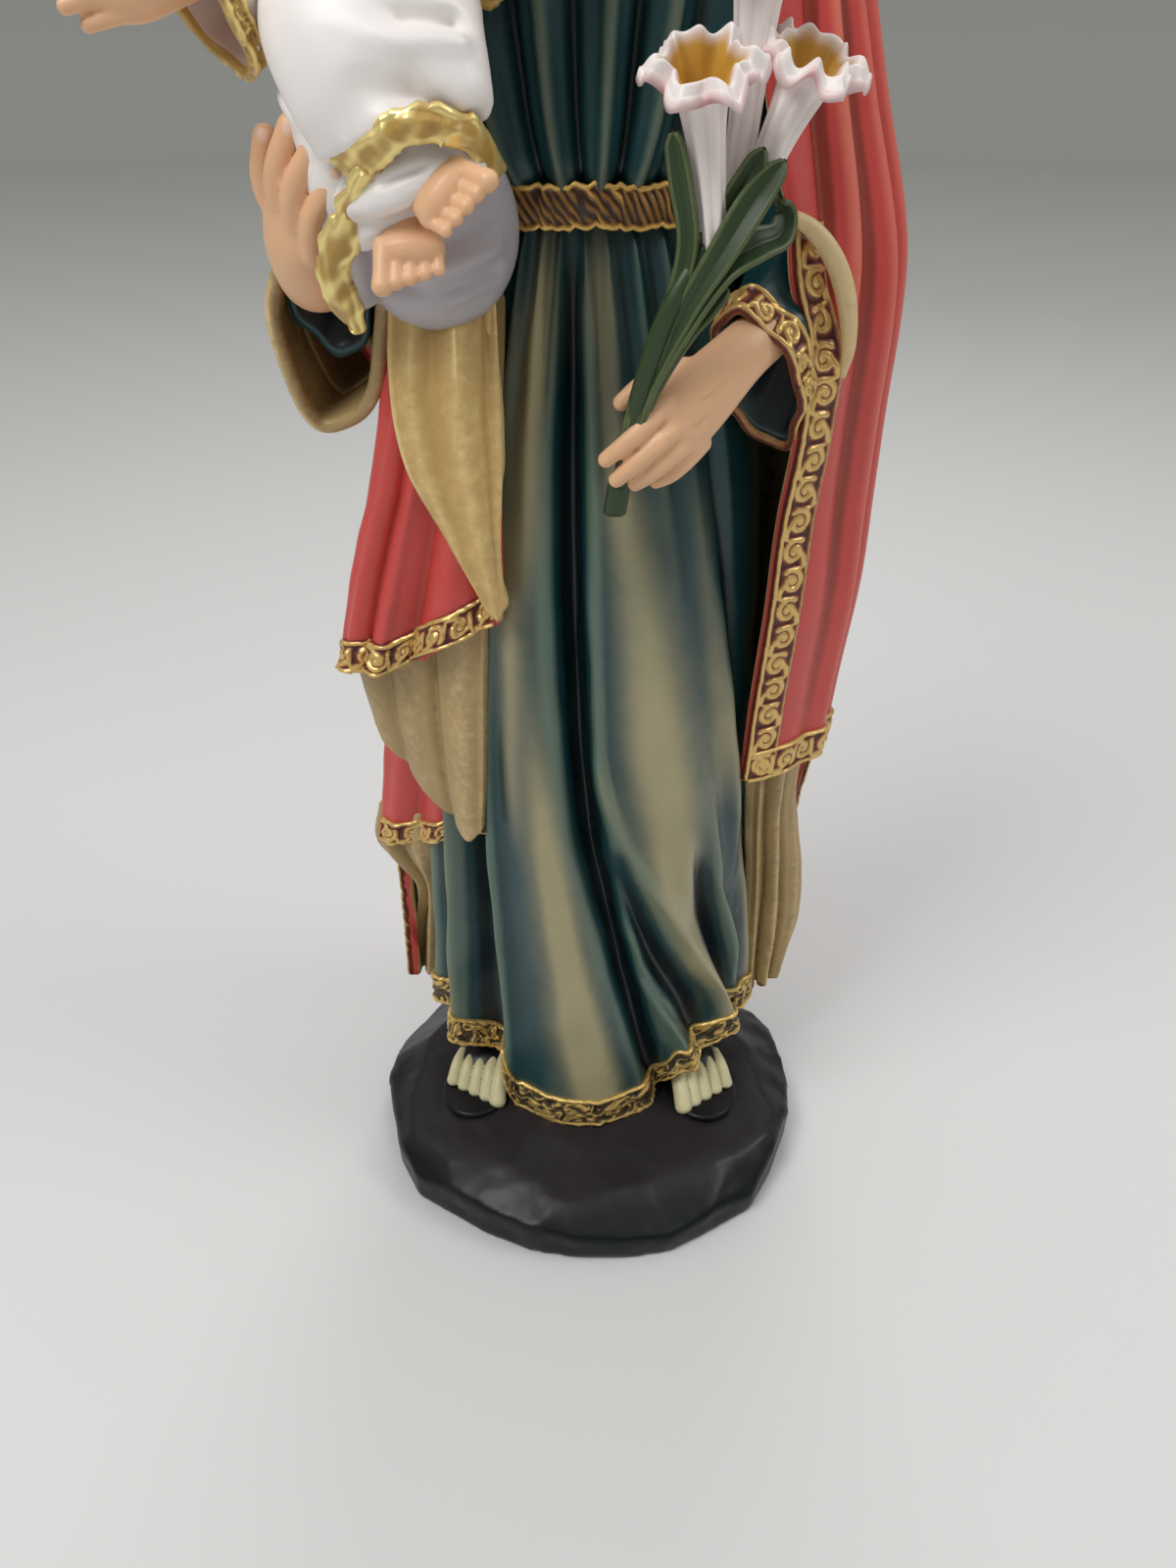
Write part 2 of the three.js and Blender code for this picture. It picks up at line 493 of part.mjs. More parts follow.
// The child sits on the man's forearm: gown, its shadowed underside, arms, feet and head.
function child() {
  const body = tube(
    [
      [-18, -8, 163.5, 4, 3.6], [-18, -8.4, 160, 7.4, 5.2], [-18.2, -8.6, 150, 7.8, 6.4],
      [-18.6, -8, 141, 9.4, 7.6],
    ],
    [1, 0, 0], 12, 5, 0,
  );
  const lap = tube(
    [
      [-18.6, -4, 139.4, 9, 6.6], [-18.2, -12, 140, 10, 7.6], [-17.4, -19, 138.6, 9.6, 6.6],
      [-16.2, -22, 134.6, 8.2, 4.4], [-15.6, -21, 131.6, 8.4, 4],
    ],
    [1, 0, 0], 16, 7, -0.2);
  const side = tube(
    [[-22, -13, 137, 5, 5], [-22.6, -14.6, 128, 3.2, 4.4], [-21.4, -14, 119, 2, 3.4]],
    [1, 0, 0], 8, 4, 0,
  );
  const underside = egg([-14, -11.4, 123.8], [8, 6.2, 9], 12, 5);
  const rightSleeve = tube(
    [[-23, -8.6, 158, 4, 4], [-27, -11, 150, 4, 4.6], [-28.6, -15, 142.4, 3, 6.4]],
    [-0.5, 0.8, 0], 10, 4, -0.7,
  );
  const rightArm = tube(
    [
      [-27, -12, 145, 2, 2], [-31.4, -17.4, 142.6, 1.9, 1.9], [-34.6, -20, 141.4, 2.2, 1.9],
      [-36.6, -21.4, 141.6, 2.2, 1.4],
    ],
    [0, 0, 1], 6, 4,
  );
  const leftSleeve = tube(
    [[-13, -9, 158, 4, 4], [-8.6, -13, 149.6, 4, 4.4], [-5.6, -16.4, 144.4, 3, 4.8]],
    [0.5, 0.8, 0], 10, 4, -0.7,
  );
  const leftArm = tube(
    [
      [-8, -14, 147, 1.9, 1.9], [-3.6, -16.6, 147.6, 1.8, 1.8], [-0.8, -16.6, 149.6, 2, 1.6],
      [0.6, -15.8, 151.6, 2, 1.2],
    ],
    [0.6, 0, -0.6], 6, 4,
  );
  const fingers = [
    finger([[-36.4, -21.6, 143], [-38, -22.6, 143.4], [-39.4, -23, 143.2]], 0.8),
    finger([[-36.8, -21.8, 141.6], [-38.4, -22.8, 141.6], [-39.8, -23.2, 141.2]], 0.8),
    finger([[-36.6, -21.6, 140.4], [-38, -22.4, 140], [-39.2, -22.6, 139.6]], 0.75),
    finger([[-34.6, -20.6, 143], [-35.2, -21.6, 144.8], [-36.2, -22.2, 145.8]], 0.8),
  ];
  const foot = (heel, ball, toe, side) => tube(
    [[...heel, 2, 2], [...ball, 2.9, 1.8], [...toe, 3, 1.3]], side, 8, 4,
  );
  const feet = [
    foot([-14.4, -20, 128.6], [-11.8, -25.4, 127.6], [-9.8, -27.4, 126.6], [0.5, 0.3, 0.8]),
    foot([-14.6, -18, 126], [-14.6, -23.4, 123], [-14.6, -25, 120.6], [1, 0, 0]),
  ];
  return [body, lap, side, underside, rightSleeve, rightArm, leftSleeve, leftArm, ...fingers, ...feet];
}

// A head drawn in its own frame, facing -Y, with the middle of the skull at the origin, then turned
// and set in place. Directions are out from the middle of the skull, and hair is in shares of it.
function head({ at, turn, nod, half, detail, hair, beard }) {
  const [w, d, h] = half;
  const face = egg([0, 0, 0], half, detail, Math.round(detail * 0.75), (out) => {
    const front = ramp(0.2, 0.8, -out.y); // features fade out towards the sides
    const jaw = -0.2 * ramp(-0.2, -0.9, out.z) * ramp(0.9, -0.2, -out.y);
    const nose = 0.17 * bell(out.x, 0.11) * bell(out.z + 0.28, 0.16) * front;
    const bridge = 0.07 * bell(out.x, 0.1) * bell(out.z + 0.04, 0.16) * front;
    const eyes = bell(out.x - 0.34, 0.15) + bell(out.x + 0.34, 0.15);
    const sockets = -0.06 * eyes * bell(out.z - 0.02, 0.12) * front;
    const brow = 0.03 * bell(out.z - 0.2, 0.08) * front;
    const chin = 0.1 * bell(out.x, 0.3) * bell(out.z + 0.85, 0.2) * front;
    const lips = 0.05 * bell(out.x, 0.2) * bell(out.z + 0.58, 0.07) * front;
    return jaw + nose + bridge + sockets + brow + chin + lips;
  });
  const locks = (rows) => rows.map((stations) => tube(
    stations.map(([x, y, z, r, s]) => [x * w, y * d, z * h, r * w, (s ?? r) * w]),
    [0.3, 0.2, 1], 5, 4, 0,
  ));
  const parts = [face, ...hair(locks, w, d, h), ...beard(locks, w, d, h)];
  return parts.map((part) => part.rotateX(nod * degree).rotateZ(turn * degree).translate(...at));
}
const waves = (turn, out) => 0.05 * Math.sin(turn * 9 + out.z * 7);
const cap = (shift, grow, line) => (locks, w, d, h) => [
  egg([0, shift[0] * d, shift[1] * h], [w * grow, d * grow, h * grow], 16, 7, (out) => {
    const turn = Math.atan2(out.x, -out.y);
    const parted = -0.3 * ramp(line, line - 0.25, out.z) * ramp(0.35, 0.75, -out.y);
    return waves(turn, out) + parted;
  }),
];
const manHair = (locks, w, d, h) => [
  ...cap([0.14, 0.04], 1.06, 0.4)(locks, w, d, h),
  ...locks([-1, 1].flatMap((s) => [
    [
      [s * 0.44, -0.1, 0.86, 0.2], [s * 0.84, -0.14, 0.44, 0.24, 0.32], [s * 0.98, -0.02, -0.2, 0.24, 0.4],
      [s * 0.98, 0.16, -0.9, 0.26, 0.44], [s * 0.84, 0.32, -1.6, 0.22, 0.36],
    ],
    [[s * 0.7, 0.6, 0.3, 0.4], [s * 0.84, 0.62, -0.6, 0.46], [s * 0.6, 0.68, -1.7, 0.38]],
  ])),
  ...locks([[[0, 0.8, 0.3, 0.5], [0, 0.9, -0.6, 0.52], [0, 0.84, -1.74, 0.4]]]),
];
const manBeard = (locks) => locks([
  ...[-1, 1].map((s) => [
    [s * 0.9, -0.1, -0.2, 0.16, 0.2], [s * 0.78, -0.4, -0.66, 0.26, 0.3],
    [s * 0.4, -0.62, -1.06, 0.34, 0.36], [s * 0.12, -0.66, -1.44, 0.2],
  ]),
  ...[-1, 1].map((s) => [
    [s * 0.04, -0.86, -0.42, 0.14], [s * 0.26, -0.78, -0.54, 0.15], [s * 0.42, -0.62, -0.78, 0.12],
  ]),
  [[0, -0.7, -0.84, 0.26], [0, -0.72, -1.15, 0.34], [0, -0.66, -1.56, 0.14]],
]);
const childHair = (locks, w, d, h) => cap([0.12, 0.14], 1.08, 0.46)(locks, w, d, h);
function heads() {
  const man = head({
    at: [0, -0.6, 189.6], turn: -14, nod: 6, half: [8.4, 10.2, 12.6], detail: 20, hair: manHair,
    beard: manBeard,
  });
  const boy = head({
    at: [-18.4, -9.6, 171.8], turn: 4, nod: 4, half: [6.6, 7.6, 8.6], detail: 14, hair: childHair,
    beard: () => [],
  });
  const necks = [
    tube([[0, 3, 160, 7, 7], [0, 3.8, 184, 6, 7]], [1, 0, 0], 10, 3),
    tube([[-18.2, -8.4, 158, 3.8, 3.8], [-18.4, -8.8, 168, 3.4, 3.4]], [1, 0, 0], 8, 3),
  ];
  return [...man, ...boy, ...necks];
}

// Sandalled feet under the lifted hem.
function feet() {
  const foot = (heel, toe, side) => tube(
    [
      [...heel, 11.4, 3.2, 3.4], [mix(heel[0], toe[0], 0.6), mix(heel[1], toe[1], 0.6), 11, 3.8, 2.8],
      [...toe, 10, 4, 1.8],
    ],
    side, 12, 5);
  return [foot([-14, 4], [-16.4, -6], [1, -0.25, 0]), foot([14, 4], [17.2, -7], [1, 0.3, 0])];
}

// The rock: an uneven many-sided block with an upright side and a faceted, sloping top.
function plinth() {
  const uneven = [0.01, -0.01, 0.02, 0, 0.02, -0.01, 0.02, -0.01, 0.01, 0, 0.02, -0.01];
  const ring = (z, share, phase) =>
    around(plinthCorners, (turn, i) => {
      const grow = (share + uneven[(i + phase) % uneven.length]) / (1 + Math.max(...uneven));
      const at = turn + degree * 12;
      return point(
        (plinthWidth / 2) * grow * Math.sin(at), (-plinthDepth / 2) * grow * Math.cos(at), z,
      );
    });
  return skin(
    [
      ring(0, 0.99, 0), ring(plinthEdge, 1, 0), ring(mix(plinthEdge, plinthTop, 0.75), 0.84, 5),
      ring(plinthTop, 0.62, 3),
    ],
    point(0, 0, 0),
    point(0, 0, plinthTop),
  );
}

const wasm = await Module();
wasm.setup();
function solid(geometry) {
  const merged = mergeVertices(geometry.clone().deleteAttribute("normal").deleteAttribute("uv"), 1e-4);
  return new wasm.Manifold(new wasm.Mesh({
    numProp: 3,
    vertProperties: merged.attributes.position.array,
    triVerts: new Uint32Array(merged.index.array),
  }));
}
function fuse(geometries) {
  const whole = geometries.map(solid).reduce((a, b) => a.add(b)).asOriginal().simplify(seamTolerance);
  const mesh = whole.getMesh();
  const geometry = new THREE.BufferGeometry();
  geometry.setAttribute("position", new THREE.BufferAttribute(mesh.vertProperties, 3));
  geometry.setIndex(new THREE.BufferAttribute(mesh.triVerts, 1));
  return geometry;
}

const figureForms = [
  ...skirt(), chest(), belt(), mantle(), train(), ...cascade(), pendant(), ...sleeves(),
  ...hands(), ...lilies(), ...child(), ...heads(), ...feet(),
];
for (const form of figureForms) {
  form.translate(0, 0, -drawn.ground);
  form.scale(figureScale, figureScale, figureScale);
  form.translate(0, 0, plinthTop);
}
const resin = new THREE.MeshStandardMaterial({ color: 0x2f4f52, roughness: 0.4, metalness: 0 });
const statue = new THREE.Mesh(fuse([plinth(), ...figureForms]), resin);
statue.name = "statue";

const part = new THREE.Group();
part.add(statue);
export default part;
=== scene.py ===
import bmesh
import bpy
import numpy as np
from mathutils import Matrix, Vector


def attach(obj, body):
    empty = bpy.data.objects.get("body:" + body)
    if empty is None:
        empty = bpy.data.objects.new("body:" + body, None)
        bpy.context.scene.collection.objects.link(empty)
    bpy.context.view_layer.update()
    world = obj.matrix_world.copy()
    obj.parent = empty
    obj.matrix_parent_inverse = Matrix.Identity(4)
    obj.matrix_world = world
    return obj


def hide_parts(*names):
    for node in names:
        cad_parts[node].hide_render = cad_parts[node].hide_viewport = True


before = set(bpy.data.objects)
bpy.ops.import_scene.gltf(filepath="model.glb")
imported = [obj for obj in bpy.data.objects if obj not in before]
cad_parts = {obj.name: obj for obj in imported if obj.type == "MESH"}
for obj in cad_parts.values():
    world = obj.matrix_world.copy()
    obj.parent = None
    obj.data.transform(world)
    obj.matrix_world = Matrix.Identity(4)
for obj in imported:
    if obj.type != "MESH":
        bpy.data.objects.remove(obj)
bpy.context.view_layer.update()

mm = 0.001  # every form below is drawn in millimetres
pi = np.pi


# camera: a phone held close over the figurine

cameraSettings = {
    "place": (0, -129, 136),
    "pitchDown": 31.2,
    "lens": 27.0,
    "sensor": 36.0,
}


def makeCamera(settings):
    data = bpy.data.cameras.new("camera")
    data.lens = settings["lens"]
    data.sensor_width = settings["sensor"]
    data.clip_start = 0.005
    camera = bpy.data.objects.new("camera", data)
    camera.location = Vector(settings["place"]) * mm
    camera.rotation_euler = (np.radians(90 - settings["pitchDown"]), 0, 0)
    bpy.context.scene.collection.objects.link(camera)
    bpy.context.scene.camera = camera


makeCamera(cameraSettings)
print("camera set")


# smooth runs, ramps and folds

def along(rows):
    # a smooth run through rows of numbers, each led by where it stands
    table = np.array(rows, float)
    keys, values = table[:, 0], table[:, 1:]
    count = len(keys)
    before = np.maximum(np.arange(count) - 1, 0)
    after = np.minimum(np.arange(count) + 1, count - 1)
    slopes = (values[after] - values[before]) / (keys[after] - keys[before])[:, None]

    def at(where):
        where = np.clip(np.asarray(where, float), keys[0], keys[-1])
        i = np.clip(np.searchsorted(keys, where, side="right") - 1, 0, count - 2)
        span = (keys[i + 1] - keys[i])[..., None]
        t = (where - keys[i])[..., None] / span
        start = (2 * t**3 - 3 * t**2 + 1) * values[i] + (t**3 - 2 * t**2 + t) * slopes[i] * span
        end = (3 * t**2 - 2 * t**3) * values[i + 1] + (t**3 - t**2) * slopes[i + 1] * span
        return start + end

    return at


def bell(distance, width):
    return np.exp(-((distance / width) ** 2))


def ramp(low, high, value):
    t = np.clip((value - low) / (high - low), 0, 1)
    return t * t * (3 - 2 * t)


def mix(a, b, t):
    return a + (b - a) * t


def unit(vectors):
    return vectors / np.maximum(np.linalg.norm(vectors, axis=-1, keepdims=True), 1e-9)


def wobble(points, size, seed, waves=14):
    # smooth unevenness of about -1 to 1, with lumps of the given size
    rng = np.random.default_rng(seed)
    total = 0
    for _ in range(waves):
        heading = unit(rng.normal(size=3)) * rng.uniform(0.6, 1.5) * 2 * pi / size
        total = total + np.sin(points @ heading + rng.uniform(0, 2 * pi))
    return total / np.sqrt(waves)


def fold(path, width, rise, sharp=2.0):
    return {"path": along(path), "width": along(width), "rise": along(rise), "sharp": sharp}


def foldHeight(folds, z, bearing):
    total = np.zeros(np.broadcast(z, bearing).shape)
    for f in folds:
        away = (bearing - f["path"](z)[..., 0] + 180) % 360 - 180
        total = total + f["rise"](z)[..., 0] * np.exp(-np.abs(away / f["width"](z)[..., 0]) ** f["sharp"])
    return total


# meshes

def gridQuads(rows, columns, wrap):
    across = np.arange(columns if wrap else columns - 1)
    beside = (across + 1) % columns
    base = np.arange(rows - 1)[:, None] * columns
    quads = np.stack([base + across, base + beside, base + columns + beside, base + columns + across], -1)
    return quads.reshape(-1, 4)


def gridNormals(points):
    upward = np.gradient(points, axis=0)
    across = np.gradient(points, axis=1)
    return unit(np.cross(across, upward))


def buildMesh(name, points, faces, values=None):
    mesh = bpy.data.meshes.new(name)
    mesh.from_pydata((np.asarray(points) * mm).tolist(), [], [list(face) for face in faces])
    for key, data in (values or {}).items():
        data = np.asarray(data, float)
        kind = "FLOAT_COLOR" if data.ndim == 2 else "FLOAT"
        layer = mesh.attributes.new(key, kind, "POINT")
        layer.data.foreach_set("color" if data.ndim == 2 else "value", data.ravel())
    mesh.validate()
    return mesh


def faceOutward(mesh):
    work = bmesh.new()
    work.from_mesh(mesh)
    bmesh.ops.recalc_face_normals(work, faces=work.faces)
    work.to_mesh(mesh)
    work.free()


# triangles that a piece always keeps, and the share kept of those beyond
meshSettings = {"keep": 6000, "share": 0.25}


def placePiece(name, mesh, materials, smooth=True):
    for material in materials:
        mesh.materials.append(material)
    mesh.polygons.foreach_set("use_smooth", [smooth] * len(mesh.polygons))
    piece = bpy.data.objects.new(name, mesh)
    bpy.context.scene.collection.objects.link(piece)
    triangles = len(mesh.loops) - 2 * len(mesh.polygons)
    spare = triangles - meshSettings["keep"]
    if spare > 0:
        thinned = piece.modifiers.new("thinned", "DECIMATE")
        thinned.ratio = (triangles - spare * (1 - meshSettings["share"])) / triangles
    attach(piece, "root")
    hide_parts("statue")
    return piece


def loftPiece(name, rings, material, relief=None, extra=None):
    # rings of points, closed at both ends by a fan
    rows, columns = rings.shape[:2]
    points = np.vstack([rings.reshape(-1, 3), rings[0].mean(0), rings[-1].mean(0)])
    quads = gridQuads(rows, columns, True).tolist()
    low, high = len(points) - 2, len(points) - 1
    top = (rows - 1) * columns
    for i in range(columns):
        j = (i + 1) % columns
        quads.append([low, j, i])
        quads.append([high, top + i, top + j])
    height = np.zeros((rows, columns)) if relief is None else relief
    values = {"relief": np.append(height.ravel(), [0, 0])}
    for key, data in (extra or {}).items():
        values[key] = np.append(data.ravel(), [0, 0])
    mesh = buildMesh(name, points, quads, values)
    faceOutward(mesh)
    return placePiece(name, mesh, [material])


def sheetPiece(name, front, thick, outside, inside, relief=None, flip=False):
    # cloth with a thickness and rounded edges: row 0 is its hem
    normal = gridNormals(front) * (-1 if flip else 1)
    height = np.zeros(front.shape[:2]) if relief is None else relief
    turns = np.radians([70, 40, 15])
    half = np.full(front.shape[0], thick / 2)
    middle = front - normal * thick / 2
    hem = [middle[0] + unit(middle[0] - middle[1]) * thick / 2 * np.sin(a) for a in turns]
    top = [middle[-1] + unit(middle[-1] - middle[-2]) * thick / 2 * np.sin(a) for a in turns[::-1]]
    middle = np.concatenate([hem, middle, top])
    half = np.concatenate([thick / 2 * np.cos(turns), half, thick / 2 * np.cos(turns[::-1])])[:, None, None]
    pad = len(turns)
    normal = np.concatenate([normal[:1]] * pad + [normal] + [normal[-1:]] * pad)
    height = np.concatenate([height[:1]] * pad + [height] + [height[-1:]] * pad)
    rows, columns = height.shape
    right = unit(middle[:, -1] - middle[:, -2])[:, None]
    left = unit(middle[:, 0] - middle[:, 1])[:, None]
    lips = np.radians([45, 90, 135])[None, :, None]
    rightLip = middle[:, -1:] + half * (right * np.sin(lips) + normal[:, -1:] * np.cos(lips))
    leftLip = middle[:, :1] + half * (left * np.sin(lips) - normal[:, :1] * np.cos(lips))
    front2, back = middle + normal * half, middle - normal * half
    ring = np.concatenate([front2, rightLip, back[:, ::-1], leftLip], axis=1)
    edge = np.full((rows, 3), 0.8)
    paint = np.concatenate([height, edge, -height[:, ::-1] * 0.7, edge], axis=1)
    wide = ring.shape[1]
    quads = gridQuads(rows, wide, True)
    side = np.tile(np.arange(wide), rows - 1)
    insideFace = (side >= columns + 1) & (side < 2 * columns + 4)
    flats = insideFace.astype(int).tolist()
    quads = quads.tolist()
    for row in (0, rows - 1):
        start = row * wide
        for j in range(columns - 1):
            far = 2 * columns + 2 - j
            quads.append([start + j, start + j + 1, start + far - 1, start + far])
            flats.append(0)
        quads.append([start + columns - 1 + k for k in (0, 1, 2, 3, 4)])
        quads.append([start + (2 * columns + 2 + k) % wide for k in (0, 1, 2, 3, 4)])
        flats += [0, 0]
    values = {"relief": paint.ravel()}
    mesh = buildMesh(name, ring.reshape(-1, 3), quads, values)
    mesh.polygons.foreach_set("material_index", flats[:len(mesh.polygons)])
    faceOutward(mesh)
    return placePiece(name, mesh, [outside, inside])


def sweep(stations, side, sides=24, steps=30, roundEnds=0.9):
    # a limb through stations of x, y, z, half width, half height, with its width held towards a side
    run = along([[i, *station] for i, station in enumerate(stations)])
    t = np.linspace(0, len(stations) - 1, steps)
    here = run(t)
    ahead = unit(run(np.minimum(t + 0.05, len(stations) - 1))[:, :3] - run(np.maximum(t - 0.05, 0))[:, :3])
    held = np.array(side, float)
    across = unit(held - ahead * (ahead @ held)[:, None])
    upward = np.cross(ahead, across)
    turn = np.arange(sides) / sides * 2 * pi
    centre, wide, high = here[:, None, :3], here[:, 3, None, None], here[:, 4, None, None]
    cos, sin = np.cos(turn)[None, :, None], np.sin(turn)[None, :, None]
    rings = centre + across[:, None] * wide * cos + upward[:, None] * high * sin
    if roundEnds:
        caps = np.radians([30, 55, 75])
        reach = here[:, 3:5].min(1) * roundEnds
        start = [centre[0] + (rings[0] - centre[0]) * np.cos(a) - ahead[0] * reach[0] * np.sin(a)
                 for a in caps[::-1]]
        end = [centre[-1] + (rings[-1] - centre[-1]) * np.cos(a) + ahead[-1] * reach[-1] * np.sin(a)
               for a in caps]
        rings = np.concatenate([start, rings, end])
    return rings


def egg(at, half, wide=32, high=20):
    lift = np.radians(np.linspace(-86, 86, high))[:, None]
    turn = (np.arange(wide) / wide * 2 * pi)[None, :]
    out = np.stack([np.sin(turn) * np.cos(lift), -np.cos(turn) * np.cos(lift), np.sin(lift) + 0 * turn], -1)
    return np.array(at) + out * np.array(half)


def joinRings(parts):
    points, faces, start = [], [], 0
    for rings in parts:
        rows, columns = rings.shape[:2]
        points += [rings.reshape(-1, 3), rings[0].mean(0)[None], rings[-1].mean(0)[None]]
        low, high = start + rows * columns, start + rows * columns + 1
        faces += (gridQuads(rows, columns, True) + start).tolist()
        top = start + (rows - 1) * columns
        for i in range(columns):
            j = (i + 1) % columns
            faces.append([low, start + j, start + i])
            faces.append([high, top + i, top + j])
        start += rows * columns + 2
    return np.vstack(points), faces


def evenOut(points, edges, rounds, share=0.5):
    count = len(points)
    ends = np.concatenate([edges[:, 0], edges[:, 1]])
    others = np.concatenate([edges[:, 1], edges[:, 0]])
    degree = np.maximum(np.bincount(ends, minlength=count), 1)[:, None]
    for _ in range(rounds):
        mean = np.stack([np.bincount(ends, points[others, k], count) for k in range(3)], -1) / degree
        points = mix(points, mean, share)
    return points


def meshArrays(mesh):
    points = np.empty(len(mesh.vertices) * 3)
    mesh.vertices.foreach_get("co", points)
    edges = np.empty(len(mesh.edges) * 2, int)
    mesh.edges.foreach_get("vertices", edges)
    normals = np.empty(len(mesh.vertices) * 3)
    mesh.vertices.foreach_get("normal", normals)
    return points.reshape(-1, 3) / mm, edges.reshape(-1, 2), normals.reshape(-1, 3)


def remeshed(name, points, faces, voxel):
    rough = buildMesh(name + "Rough", points, faces)
    faceOutward(rough)
    holder = bpy.data.objects.new(name + "Rough", rough)
    bpy.context.scene.collection.objects.link(holder)
    remesh = holder.modifiers.new("remesh", "REMESH")
    remesh.mode = "VOXEL"
    remesh.voxel_size = voxel * mm
    mesh = bpy.data.meshes.new_from_object(holder.evaluated_get(bpy.context.evaluated_depsgraph_get()))
    bpy.data.objects.remove(holder)
    mesh.name = name
    return mesh


def addValues(mesh, values):
    for key, data in values.items():
        mesh.attributes.new(key, "FLOAT", "POINT").data.foreach_set("value", np.asarray(data, float))


def fusePiece(name, parts, voxel, rounds, material, carve=None, paint=None, crestRounds=14,
              crestScale=4.0):
    # forms run together by a voxel remesh, evened out, then carved
    points, faces = joinRings(parts)
    mesh = remeshed(name, points, faces, voxel)
    points, edges, _ = meshArrays(mesh)
    points = evenOut(points, edges, rounds)
    mesh.vertices.foreach_set("co", (points * mm).ravel())
    mesh.update()
    if carve:
        points, _, normals = meshArrays(mesh)
        points = points + normals * carve(points)[:, None]
        mesh.vertices.foreach_set("co", (points * mm).ravel())
        mesh.update()
    points, edges, normals = meshArrays(mesh)
    # relief: how far each point stands out from its smoothed neighbours; the paint turns it into painted
    # shade in hollows and painted highlight on crests
    crest = ((points - evenOut(points, edges, crestRounds)) * normals).sum(1) * crestScale
    values = {"relief": np.clip(crest, -2, 2)}
    for key, data in (paint(points) if paint else {}).items():
        values[key] = np.clip(data, 0, 1)
    addValues(mesh, values)
    return placePiece(name, mesh, [material])


def toSegments(points, line):
    # distance from each point to a run of straight pieces
    line = np.array(line, float)
    best = np.full(len(points), 1e9)
    for a, b in zip(line[:-1], line[1:]):
        t = np.clip(((points - a) @ (b - a)) / max((b - a) @ (b - a), 1e-9), 0, 1)
        best = np.minimum(best, np.linalg.norm(points - (a + (b - a) * t[:, None]), axis=1))
    return best


def creases(lines):
    # each line is its points, its width and its rise
    def carve(points):
        total = np.zeros(len(points))
        for line, width, rise in lines:
            total += rise * bell(toSegments(points, line), width)
        return total
    return carve


def net(curves, rows, columns):
    # a surface through curves of equal counts of points, row 0 first
    curves = np.array(curves, float)
    across = np.linspace(0, curves.shape[1] - 1, columns)
    smooth = np.stack([along(np.column_stack([np.arange(len(c)), c]))(across) for c in curves])
    places = np.arange(len(curves), dtype=float)
    flat = along(np.column_stack([places, smooth.reshape(len(curves), -1)]))
    return flat(np.linspace(0, len(curves) - 1, rows)).reshape(rows, columns, 3)


def netFolds(grid, folds):
    # folds run up the cloth: place at the hem, place at the top, width, rise at the hem, rise at the top
    rows, columns = grid.shape[:2]
    v = np.linspace(0, 1, rows)[:, None]
    s = np.linspace(0, 1, columns)[None, :]
    total = np.zeros((rows, columns))
    for low, high, width, riseLow, riseHigh in folds:
        total += mix(riseLow, riseHigh, v) * bell(s - mix(low, high, v), width)
    return total


# gilt borders: scrolls between two cords, laid over the cloth

def scrollLine(radius, turns):
    t = np.linspace(0, 1, 26)
    turn = -2.2 + t * turns * 2 * pi
    reach = radius * (0.12 + 0.88 * t)
    return np.stack([np.cos(turn) * reach, np.sin(turn) * reach], -1)


def scrollRelief(u, v, width, pitch, seed=1):
    rng = np.random.default_rng(seed)
    number = np.floor(u / pitch).astype(int)
    kinds = rng.uniform(-1, 1, (number.max() + 2, 3))
    jitter = kinds[np.clip(number, 0, None)]
    x = (u / pitch - number - 0.5) * pitch + jitter[..., 0] * 0.1
    side = np.where(number % 2 == 0, 1, -1)
    y = (v - width / 2) * side + jitter[..., 1] * 0.12
    spot = np.stack([x, y], -1).reshape(-1, 2)
    radius = min(pitch * 0.42, width * 0.34)
    scroll = scrollLine(radius, 1.45)
    tail = np.array([[radius * 0.9, -radius * 0.2], [pitch * 0.5, -width * 0.3],
                     [pitch * 0.62, -width * 0.1]])
    leaf = np.array([[-pitch * 0.5, width * 0.34], [-radius * 0.5, width * 0.3], [0, width * 0.16]])
    line = 9 * np.ones(len(spot))
    for run in (scroll, tail, leaf):
        line = np.minimum(line, toSegments(spot, run))
    thick = 0.085 * width + 0.02
    height = bell(line, thick).reshape(u.shape)
    bead = bell(np.hypot(x, y), 0.09 * width)
    return np.maximum(height, bead)


def edgeStrip(front, width, step, start=0.0, end=1.0):
    # the part of a sheet within a width of row 0, resampled finely,
    # and how far along and across it each point is
    edge = front[0]
    length = np.concatenate([[0], np.cumsum(np.linalg.norm(np.diff(edge, axis=0), axis=1))])
    first, last = np.interp([start, end], np.linspace(0, 1, len(edge)), length)
    u = np.arange(first, last, step)
    place = np.interp(u, length, np.arange(len(edge)))
    lower = np.minimum(place.astype(int), len(edge) - 2)
    part = (place - lower)[None, :, None]
    strip = front[:, lower] * (1 - part) + front[:, lower + 1] * part
    steps = np.linalg.norm(np.diff(strip, axis=0), axis=2)
    rise = np.concatenate([np.zeros((1, len(u))), np.cumsum(steps, axis=0)])
    v = np.arange(0, width + step / 2, step)
    points = np.empty((len(v), len(u), 3))
    for j in range(len(u)):
        for k in range(3):
            points[:, j, k] = np.interp(v, rise[:, j], strip[:, j, k])
    shape = points.shape[:2]
    return points, np.broadcast_to((u - first)[None, :], shape), np.broadcast_to(v[:, None], shape)


borderSettings = {"step": 0.15, "cord": 0.3, "relief": 0.4, "lift": 0.12, "over": 0.6}


